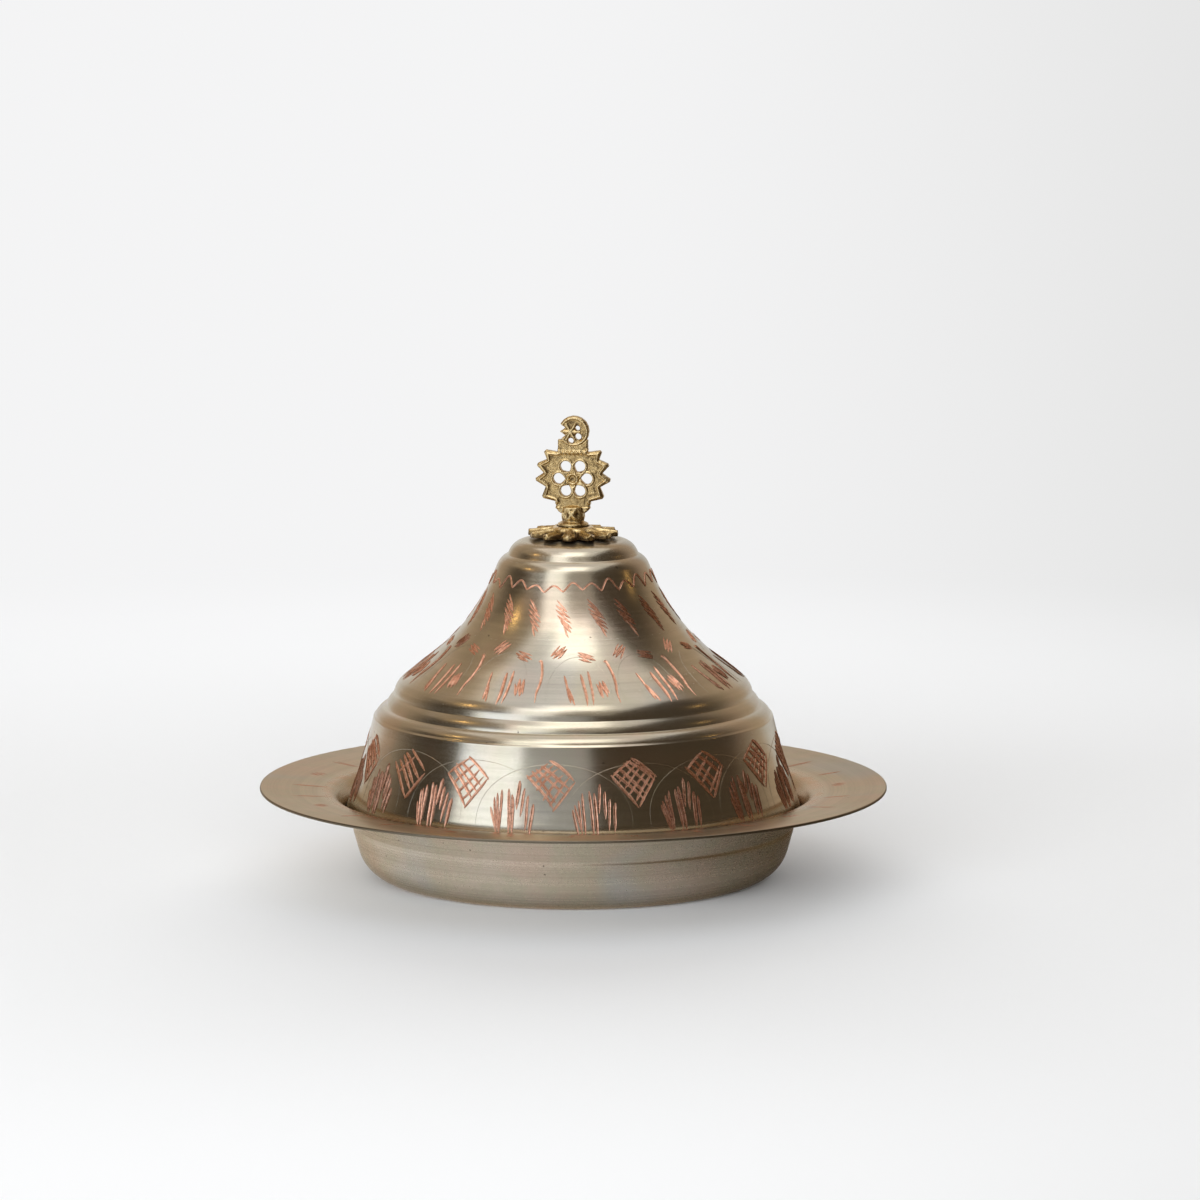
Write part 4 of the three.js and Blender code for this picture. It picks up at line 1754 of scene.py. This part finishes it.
@dataclass
class Rosette:
    """The cast rosette: twelve ribbed rays that lie on the crown."""

    skin: CastSkin = CastSkin(0.0003, pebbles_per_metre=600.0, seed=9.0)
    rays: int = 12
    turn: float = -7.0
    bore_radius: float = 2.3
    hub_radius: float = 5.3
    foot_radius: float = 6.3
    tip_radius: float = 14.2
    notch_radius: float = 10.8
    tip_share: float = 0.34
    base_height: float = 109.4
    hub_thickness: float = 3.1
    ray_thickness: float = 2.75
    valley_depth: float = 1.0
    tip_fall: float = 0.9
    rib_pitch: float = 1.7
    rib_depth: float = 0.55
    gap_depth: float = 0.9
    gap_width: float = 0.8
    wall_bulge: float = 0.12
    shoulder_length: float = 1.2
    # Painted highlight on the ray tops; painted shade in the ribs, gaps and valleys, on the walls towards
    # the crown, and in the bore.
    shine: float = 0.3
    sunk_shade: float = 0.55
    deepest_shade: float = 1.2
    wall_shade: float = 0.4
    bore_look: float = -0.3
    side_steps: int = 30
    ray_rings: int = 26
    wall_rings: int = 9

    def edge_radius(self, share: float) -> float:
        """Finds the radius of the edge.

        Args:
            share: The share of the way across a ray, from -0.5 to 0.5.

        Returns:
            The edge's radius there.
        """
        flat = self.tip_share / 2
        away = max(abs(share) - flat, 0.0) / (0.5 - flat)
        return self.tip_radius - (self.tip_radius - self.notch_radius) * away

    def top(self, radius: float, share: float) -> tuple[float, float]:
        """Finds the upper face.

        Args:
            radius: The radius.
            share: The share of the way across a ray, from -0.5 to 0.5.

        Returns:
            The face's height over the crown and the look there, with a painted highlight on top and painted
            shade where it is sunk.
        """
        across = radius * math.sin(2 * math.pi * share / self.rays)
        to_gap = radius * math.sin(2 * math.pi * (0.5 - abs(share)) / self.rays)
        rib = abs((across / self.rib_pitch + 0.5) % 1 - 0.5) * 2
        gap = max(0.0, 1 - to_gap / self.gap_width)
        out = min(1.0, max(0.0, (radius - self.foot_radius) / self.shoulder_length))
        sunk = out * (self.rib_depth * rib + self.gap_depth * gap + 2 * abs(share) * self.valley_depth)
        fall = self.tip_fall * max(0.0, radius - self.foot_radius) / (self.tip_radius - self.foot_radius)
        rise = (self.hub_thickness - self.ray_thickness) * min(1.0, max(0.0, self.foot_radius - radius))
        # Painted highlight on the tops and painted shade in what is sunk.
        look = self.shine - self.sunk_shade * min(sunk, self.deepest_shade)
        return self.ray_thickness + rise - sunk - fall, look

    def _rings(self) -> tuple[list[list[Point3]], list[list[float]]]:
        """Lays rings of points from the bore over the top and down the edge.

        Returns:
            The rings of points and the look of each point, with its painted highlight and shade.
        """
        count = self.rays * self.side_steps
        shares = [(i / self.side_steps + 0.5) % 1 - 0.5 for i in range(count)]
        rings, looks = [], []
        steps = [(Face.BORE, 0.0), (Face.BORE, 1.0), (Face.HUB, 1.0)]
        steps += [(Face.RAY, i / self.ray_rings) for i in range(self.ray_rings + 1)]
        steps += [(Face.WALL, 1 - i / self.wall_rings) for i in range(1, self.wall_rings + 1)]
        for face, t in steps:
            ring, look = [], []
            for i, share in enumerate(shares):
                edge = self.edge_radius(share)
                radius, height, wear_and_light = self.bore_radius, t * self.hub_thickness, self.bore_look
                if face is Face.HUB:
                    radius = self.hub_radius
                elif face is Face.RAY:
                    radius = self.hub_radius + (edge - self.hub_radius) * t
                    height, wear_and_light = self.top(radius, share)
                elif face is Face.WALL:
                    rim, wear_and_light = self.top(edge, share)
                    radius, height = edge + self.wall_bulge * math.sin(math.pi * t), rim * t
                    # Painted shade: the walls darken towards the crown.
                    wear_and_light = wear_and_light - self.wall_shade + self.wall_shade * t
                turn = 2 * math.pi * (i / count) + math.radians(self.turn)
                ring.append((radius * math.sin(turn), -radius * math.cos(turn), self.base_height + height))
                look.append(wear_and_light)
            rings.append(ring)
            looks.append(look)
        return rings, looks

    def build(self, workshop: Workshop, brass: bpy.types.Material) -> None:
        """Makes the rosette.

        Args:
            workshop: The workshop.
            brass: Its finish.
        """
        rings, looks = self._rings()
        count = len(rings[0])
        points = np.array(rings).reshape(-1, 3) * MM
        faces = []
        for k in range(len(rings)):
            here, after = k * count, (k + 1) % len(rings) * count
            for i in range(count):
                j = (i + 1) % count
                faces.append((here + i, here + j, after + j, after + i))
        piece = workshop.raw_object("rosette_casting", points, faces=faces)
        self.skin.finish(workshop, piece, np.array(looks).ravel(), brass, "rosette")


@dataclass
class Finial:
    """The cast finial: collar, bud, openwork sun, crescent and star, alike front and back.

    Heights on the sun and the crescent are measured from the sun's middle.
    """

    skin: CastSkin = CastSkin(0.0002, grain_height=0.00006)
    voxel: float = 0.14
    smoothing: int = 2
    turn: float = -7.0
    sun_height: float = 127.6
    tips: tuple[Point2, ...] = ((45.5, 12.5), (68.5, 12.2), (92.0, 11.9), (122.0, 11.4))
    notches: tuple[Point2, ...] = ((30.0, 9.8), (54.0, 10.3), (79.5, 9.5), (107.0, 9.1), (142.0, 9.2))
    bead_inset: float = 0.75
    bead_rise: float = 0.42
    hub_ring: float = 1.5
    hub_rise: float = 0.75
    hole_circle: float = 4.5
    hole_radius: float = 1.7
    rim_rise: float = 0.4
    spoke_ends: Point2 = (1.6, 4.6)
    spoke_half_width: float = 0.45
    spoke_rise: float = 0.25
    rope_height: float = 8.35
    rope_pitch: float = 1.3
    rope_middle: float = -0.3
    rope_half_length: float = 5.0
    rope_rise: float = 0.3
    strand_rise: float = 0.65
    crescent_middle: Point2 = (0.3, 15.1)
    crescent_ridge: float = 4.2
    crescent_foot: float = 10.7
    crescent_rise: float = 0.35
    star_middle: Point2 = (-0.65, 14.95)
    star_reach: float = 3.1
    star_half_width: float = 0.75
    star_rise: float = 0.4
    plate_foot: float = -10.4
    bud_top: float = -8.4
    bud_height: float = 116.4
    bud_half_height: float = 2.7
    scale_rise: float = 0.3
    crest_height: float = 118.3
    crest_rise: float = 0.25
    collar_foot: float = 112.5
    collar_edge: float = 113.3

    def _even_copy(self) -> bpy.types.Object:
        """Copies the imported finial, joins its loose triangles, and meshes it evenly and softly.

        Returns:
            The copy.
        """
        copy = bpy.data.objects.new("finial_casting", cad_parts["finial"].data.copy())
        bpy.context.scene.collection.objects.link(copy)
        shape = bmesh.new()
        shape.from_mesh(copy.data)
        bmesh.ops.remove_doubles(shape, verts=shape.verts, dist=0.001 * MM)
        shape.to_mesh(copy.data)
        shape.free()
        copy.data.materials.clear()
        remesh = copy.modifiers.new("Even mesh", "REMESH")
        remesh.mode = "VOXEL"
        remesh.voxel_size = self.voxel * MM
        soften = copy.modifiers.new("Soft edges", "SMOOTH")
        soften.factor = 0.5
        soften.iterations = self.smoothing
        return Workshop.baked(copy)

    def _carve(self, mesh: bpy.types.Mesh) -> np.ndarray:
        """Pushes a mesh's points along their normals by the relief.

        Args:
            mesh: The finial's mesh.

        Returns:
            The look of each point, with its painted highlight and shade.
        """
        count = len(mesh.vertices)
        points = np.empty(count * 3, np.float32)
        normals = np.empty(count * 3, np.float32)
        mesh.vertices.foreach_get("co", points)
        mesh.vertex_normals.foreach_get("vector", normals)
        points = points.reshape(-1, 3)
        normals = normals.reshape(-1, 3)
        push, look = self.relief(points / MM, normals)
        points += normals * (push * MM)[:, None].astype(np.float32)
        mesh.vertices.foreach_set("co", points.ravel())
        mesh.update()
        return look

    def relief(self, points: np.ndarray, normals: np.ndarray) -> tuple[np.ndarray, np.ndarray]:
        """Raises what is cast on the sun, the crescent and the bud.

        Args:
            points: The piece's points, in millimetres.
            normals: Their normals.

        Returns:
            The push and the look of each point: a painted highlight where the relief stands out, painted
                shade where it is sunk, and a painted highlight on the collar's edge with a painted shadow
                under it.
        """
        c, s = math.cos(math.radians(-self.turn)), math.sin(math.radians(-self.turn))
        across = points[:, 0] * c - points[:, 1] * s
        deep = points[:, 0] * s + points[:, 1] * c
        facing = np.abs(normals[:, 0] * s + normals[:, 1] * c)
        height = points[:, 2]
        up = height - self.sun_height
        plate = facing * (self._sun_relief(across, up) + self._crescent_relief(across, up))
        plate = np.where(up > self.plate_foot, plate, 0.0)

        round_way = np.arctan2(across, deep)
        rise = (height - self.bud_height) / 1.1
        scales = np.maximum(np.cos(6 * round_way + rise * 1.6), np.cos(6 * round_way - rise * 1.6))
        on_bud = hump(height, self.bud_height, self.bud_half_height) ** 0.5
        bud = on_bud * (self.scale_rise * scales - 0.05)
        crest = self.crest_rise * hump(height, self.crest_height, 0.5)
        push = plate + (bud + crest) * (up < self.bud_top)
        # Painted highlight on the collar's edge and painted shadow under it.
        collar_shadow_and_highlight = 0.2 * hump(height, self.collar_edge, 0.5) - 0.4 * hump(height, self.collar_foot, 0.5)
        # Painted highlight where the relief stands out and painted shade where it is sunk.
        return push, np.clip(0.9 * push - 0.05 + collar_shadow_and_highlight, -0.4, 0.35)

    def _sun_relief(self, across: np.ndarray, up: np.ndarray) -> np.ndarray:
        """Returns the push of the hub, the spokes, the rims of the holes, the edge bead and the rope.

        Args:
            across: How far each point is to the right of the sun's middle.
            up: How far it is above it.

        Returns:
            The push of each point.
        """
        radius = np.hypot(across, up)
        hub = self.hub_rise * hump(radius, self.hub_ring, 0.7) - 0.25 * hump(radius, 0.0, 0.8)
        rims = np.zeros(len(up))
        spokes = np.zeros(len(up))
        for hole in range(6):
            turn = math.radians(60 * hole)
            x, z = self.hole_circle * math.cos(turn), self.hole_circle * math.sin(turn)
            rims = np.maximum(rims, hump(np.hypot(across - x, up - z), self.hole_radius + 0.45, 0.5))
            between = turn + math.radians(30)
            spoke = bar(across, up, between, self.spoke_ends, self.spoke_half_width)
            spokes = np.maximum(spokes, spoke)
        edge = distance_to_line(np.abs(across), up, self._edge())
        bead = self.bead_rise * hump(edge, self.bead_inset, 0.5)
        bead = bead - 0.1 * hump(edge, self.bead_inset + 0.95, 0.6)
        slant = across + 0.9 * (up - self.rope_height)
        strands = 0.5 + 0.5 * np.cos(2 * math.pi * slant / self.rope_pitch)
        on_rope = hump(across, self.rope_middle, self.rope_half_length) ** 0.2
        rope = hump(up, self.rope_height, 1.1) * on_rope * (self.rope_rise + self.strand_rise * strands)
        bead = bead * (1 - hump(up, self.rope_height, 1.6) * on_rope)
        return hub + self.rim_rise * rims + self.spoke_rise * spokes + bead + rope

    def _edge(self) -> np.ndarray:
        """Draws the right half of the sun's edge, from its upper shoulder to its foot.

        Returns:
            Its corners.
        """
        corners = [corner for pair in zip(self.notches, self.tips) for corner in pair]
        corners.append(self.notches[-1])
        return np.array([polar(reach, turn) for turn, reach in corners])

    def _crescent_relief(self, across: np.ndarray, up: np.ndarray) -> np.ndarray:
        """Returns the push of the crescent's ridge and the star's arms.

        Args:
            across: How far each point is to the right of the sun's middle.
            up: How far it is above it.

        Returns:
            The push of each point.
        """
        from_middle = np.hypot(across - self.crescent_middle[0], up - self.crescent_middle[1])
        ridge = self.crescent_rise * hump(from_middle, self.crescent_ridge, 0.6)
        ridge = ridge * (up > self.crescent_foot)
        arms = np.zeros(len(up))
        x, z = across - self.star_middle[0], up - self.star_middle[1]
        for arm in range(6):
            turn = math.radians(60 * arm)
            arms = np.maximum(arms, bar(x, z, turn, (0.0, self.star_reach), self.star_half_width))
        inside = np.clip((self.crescent_ridge - 0.4 - from_middle) / 0.4, 0, 1)
        return ridge + inside * (self.star_rise * arms - 0.12)

    def build(self, workshop: Workshop, brass: bpy.types.Material) -> None:
        """Makes the finial.

        Args:
            workshop: The workshop.
            brass: Its finish.
        """
        piece = self._even_copy()
        self.skin.finish(workshop, piece, self._carve(piece.data), brass, "finial")


# The fastening


@dataclass
class Fastening:
    """The stud, washer and nut under the crown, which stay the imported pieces."""

    nodes: tuple[str, ...] = ("finial_stud", "inner_washer", "clamping_nut")

    def build(self, steel: bpy.types.Material) -> None:
        """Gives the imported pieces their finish.

        Args:
            steel: The finish.
        """
        for node in self.nodes:
            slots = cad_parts[node].data.materials
            slots.clear()
            slots.append(steel)
            log.info("%s: packed node with a new finish", node)


# The studio


class LampUse(Enum):
    """What a lamp is there for: to be mirrored in the metal, or to light the floor."""

    METAL = "metal"
    FLOOR = "floor"


@dataclass
class SoftBox:
    """A lamp with a plain rectangular face, aimed at a point of the object."""

    name: str
    angle: float
    elevation: float
    distance: float
    width: float
    height: float
    radiance: float
    colour: Colour = (1.0, 1.0, 1.0)
    use: LampUse = LampUse.METAL
    aim_height: float = 0.05

    def build(self) -> None:
        """Makes the lamp."""
        turn, rise = math.radians(self.angle), math.radians(self.elevation)
        flat = math.cos(rise)
        away = Vector((math.sin(turn) * flat, -math.cos(turn) * flat, math.sin(rise)))
        data = bpy.data.lights.new(self.name, "AREA")
        data.shape = "RECTANGLE"
        data.size = self.width
        data.size_y = self.height
        data.energy = self.radiance * math.pi * self.width * self.height
        data.color = self.colour
        lamp = bpy.data.objects.new(self.name, data)
        lamp.location = away * self.distance + Vector((0, 0, self.aim_height))
        lamp.rotation_euler = away.to_track_quat("Z", "Y").to_euler()
        lamp.visible_camera = False
        lamp.visible_glossy = self.use is LampUse.METAL
        lamp.visible_diffuse = self.use is LampUse.FLOOR
        bpy.context.scene.collection.objects.link(lamp)


@dataclass
class Studio:
    """A pale floor that runs out into white, soft lamps, a dim warm room in front, and the camera."""

    camera_distance: float = 2.0
    camera_height: float = 0.385
    camera_side: float = 0.0085
    camera_pitch: float = 8.43
    lens: float = 190.83
    sensor: float = 36.0
    floor_size: float = 30.0
    floor_colour: Colour = (0.81, 0.845, 0.88)
    # Colour and place of a painted shade that the metal mirrors on the floor's right.
    floor_mirrored: Colour = (0.15, 0.12, 0.08)
    dim_side: Point2 = (-0.02, 0.13)
    # Place and strength of a painted reflection: the floor's left part glows for mirrored rays.
    painted_glow_side: Point2 = (0.09, -0.05)
    painted_glow_share: float = 0.4
    sweep_left: Colour = (0.905, 0.905, 0.91)
    sweep_right: Colour = (0.735, 0.735, 0.73)
    sweep_side: Point2 = (-0.02, 0.17)
    fade: Point2 = (0.2, 0.7)
    floor_behind: Point2 = (0.1, 0.5)
    room_front: Colour = (0.08, 0.06, 0.04)
    room_side: Colour = (0.57, 0.44, 0.32)
    side_start: Point2 = (0.1, 0.85)
    room_behind: Point2 = (0.8, 0.96)
    boxes: list[SoftBox] = field(
        default_factory=lambda: [
            SoftBox("Key box", -47.0, 19.0, 1.1, 0.72, 0.36, 1.5, (0.84, 0.91, 1.0)),
            SoftBox("Key glow", -27.0, 20.0, 1.15, 1.6, 0.55, 0.5, (0.84, 0.91, 1.0)),
            SoftBox("Key top", -29.0, 45.0, 1.2, 0.55, 0.7, 1.3, (0.93, 0.97, 1.0)),
            SoftBox("Front glow", -8.0, 46.0, 1.25, 1.4, 0.5, 0.4, (1.0, 0.96, 0.88)),
            SoftBox("Top box", 3.0, 70.0, 1.25, 0.6, 0.6, 1.5),
            SoftBox("Top glow", 0.0, 88.0, 1.3, 1.5, 1.6, 0.82),
            SoftBox("Left glow", -92.0, 50.0, 1.25, 1.2, 0.7, 0.26, (1.0, 0.78, 0.55)),
            SoftBox("Left lamp", -86.0, 42.0, 1.3, 0.06, 0.09, 12.0, (1.0, 0.62, 0.22)),
            SoftBox("Right lamp", 92.0, 26.0, 1.3, 0.05, 0.05, 8.0, (1.0, 0.62, 0.22)),
            SoftBox("Floor sky", 0.0, 90.0, 1.6, 2.6, 2.6, 0.56, use=LampUse.FLOOR),
            SoftBox("Floor front", -14.0, 14.0, 1.5, 2.0, 0.8, 7.7, use=LampUse.FLOOR),
            SoftBox("Floor back", 180.0, 14.0, 1.5, 1.8, 0.8, 6.5, use=LampUse.FLOOR),
        ]
    )

    def build(self) -> None:
        """Makes floor, room, lamps and camera."""
        self._floor()
        self._world()
        for box in self.boxes:
            box.build()
        self._camera()
        bpy.context.scene.view_settings.view_transform = "Standard"
        log.info("studio: %d lamps", len(self.boxes))

    def _floor(self) -> None:
        """Makes the floor, which keeps shadows near the object and runs out into white. In the metal, its
        right part shows a painted shade and its left part a painted glow.
        """
        half = self.floor_size / 2
        corners = np.array([(-half, -half, 0), (half, -half, 0), (half, half, 0), (-half, half, 0)])
        floor = Workshop.raw_object("floor", corners, faces=[(0, 1, 2, 3)])
        material = bpy.data.materials.new("Floor")
        material.use_nodes = True
        g = Graph(material.node_tree)
        material.node_tree.nodes.remove(material.node_tree.nodes["Principled BSDF"])
        place = g.node("ShaderNodeTexCoord").outputs["Object"]
        side, back, _ = g.split(place)
        mirrored, seen = self._rays(g, back, self.floor_behind)
        # Painted shade: for mirrored rays the floor's right part turns dark.
        dim = g.math("MULTIPLY", mirrored, g.ramp(side, *self.dim_side))
        paper_colour = g.mix(dim, self.floor_colour, self.floor_mirrored)
        paper = g.node("ShaderNodeBsdfDiffuse", {"Color": paper_colour})
        distance = g.math("MAXIMUM", g.math("ADD", back, self.camera_distance), 0.5)
        sweep = self._sweep(g, g.math("DIVIDE", side, distance))
        white = g.node("ShaderNodeEmission", {"Color": sweep, "Strength": 1.0})
        # Painted reflection: for mirrored rays the floor's left part glows white.
        painted_glow = g.math("MULTIPLY", mirrored, g.ramp(side, *self.painted_glow_side, 0.0, self.painted_glow_share))
        share = g.math("MULTIPLY", seen, g.ramp(g.length(place), *self.fade))
        share = g.math("MAXIMUM", share, painted_glow)
        blend = g.node("ShaderNodeMixShader", {0: share, 1: paper.outputs[0], 2: white.outputs[0]})
        output = next(n for n in material.node_tree.nodes if n.type == "OUTPUT_MATERIAL")
        g.feed(output.inputs["Surface"], blend.outputs[0])
        floor.data.materials.append(material)

    def _sweep(self, g: Graph, side: Any) -> Any:
        """Returns the white of the sweep, which falls off a little to the right of the picture."""
        return g.mix(g.ramp(side, *self.sweep_side), self.sweep_left, self.sweep_right)

    @staticmethod
    def _rays(g: Graph, back: Any, ends: Point2) -> tuple[Any, Any]:
        """Finds out what a place is looked at by.

        Args:
            g: The graph.
            back: How far back the place is.
            ends: Where the metal starts to mirror the white behind the object, and does so in full.

        Returns:
            1 for what the metal mirrors, and 1 for what shows white to the camera or mirrored.
        """
        path = g.node("ShaderNodeLightPath").outputs
        mirrored = g.math("MAXIMUM", path["Is Glossy Ray"], path["Is Transmission Ray"])
        behind = g.math("MULTIPLY", mirrored, g.ramp(back, *ends))
        return mirrored, g.math("MAXIMUM", path["Is Camera Ray"], behind)

    def _world(self) -> None:
        """Makes the surroundings: white for the camera and behind, and a dim warm room in front."""
        world = bpy.data.worlds.new("Room")
        bpy.context.scene.world = world
        world.use_nodes = True
        g = Graph(world.node_tree)
        background = world.node_tree.nodes["Background"]
        side, back, _ = g.split(g.node("ShaderNodeTexCoord").outputs["Generated"])
        room = g.mix(g.ramp(back, *self.side_start), self.room_front, self.room_side)
        _, seen = self._rays(g, back, self.room_behind)
        g.feed(background.inputs["Color"], g.mix(seen, room, self._sweep(g, side)))
        background.inputs["Strength"].default_value = 1.0

    def _camera(self) -> None:
        """Makes the camera of the photograph."""
        data = bpy.data.cameras.new("Camera")
        data.lens = self.lens
        data.sensor_width = self.sensor
        data.clip_end = 100.0
        camera = bpy.data.objects.new("Camera", data)
        camera.location = (self.camera_side, -self.camera_distance, self.camera_height)
        camera.rotation_euler = (math.radians(90 - self.camera_pitch), 0, 0)
        bpy.context.scene.collection.objects.link(camera)
        bpy.context.scene.camera = camera


def write_sizes() -> None:
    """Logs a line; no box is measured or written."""
    log.info("sizes written")


def main() -> None:
    """Builds the studio and every piece of the dish in order."""
    logging.basicConfig(level=logging.INFO, format="%(name)s: %(message)s")
    Studio().build()
    workshop = Workshop()
    dish_tin = TinnedCopper(
        "Dish tin",
        metal=(0.61, 0.52, 0.425),
        brown=(0.5, 0.4, 0.29),
        grazing=(0.7, 0.62, 0.52),
        streak=0.03,
        grain=0.06,
        line_depth=0.000012,
        smooth=0.26,
        dull=0.36,
        zone_by_radius=True,
        zone=(78.0, 84.0),
        tint=0.5,
    )
    lid_tin = TinnedCopper("Lid tin")
    copper = BareCopper().build(workshop.groups)
    dull_copper = BareCopper(
        "Dull bare copper",
        bright=(0.66, 0.34, 0.22),
        dark=(0.4, 0.2, 0.12),
        roughness=0.4,
    ).build(workshop.groups)
    brass = CastBrass().build(workshop.groups)
    Dish().build(workshop, dish_tin.build(workshop.groups), dull_copper)
    Lid().build(workshop, lid_tin.build(workshop.groups), copper)
    Rosette().build(workshop, brass)
    Finial().build(workshop, brass)
    Fastening().build(PlainSteel().build(workshop.groups))
    write_sizes()


if __name__ == "__main__":
    main()
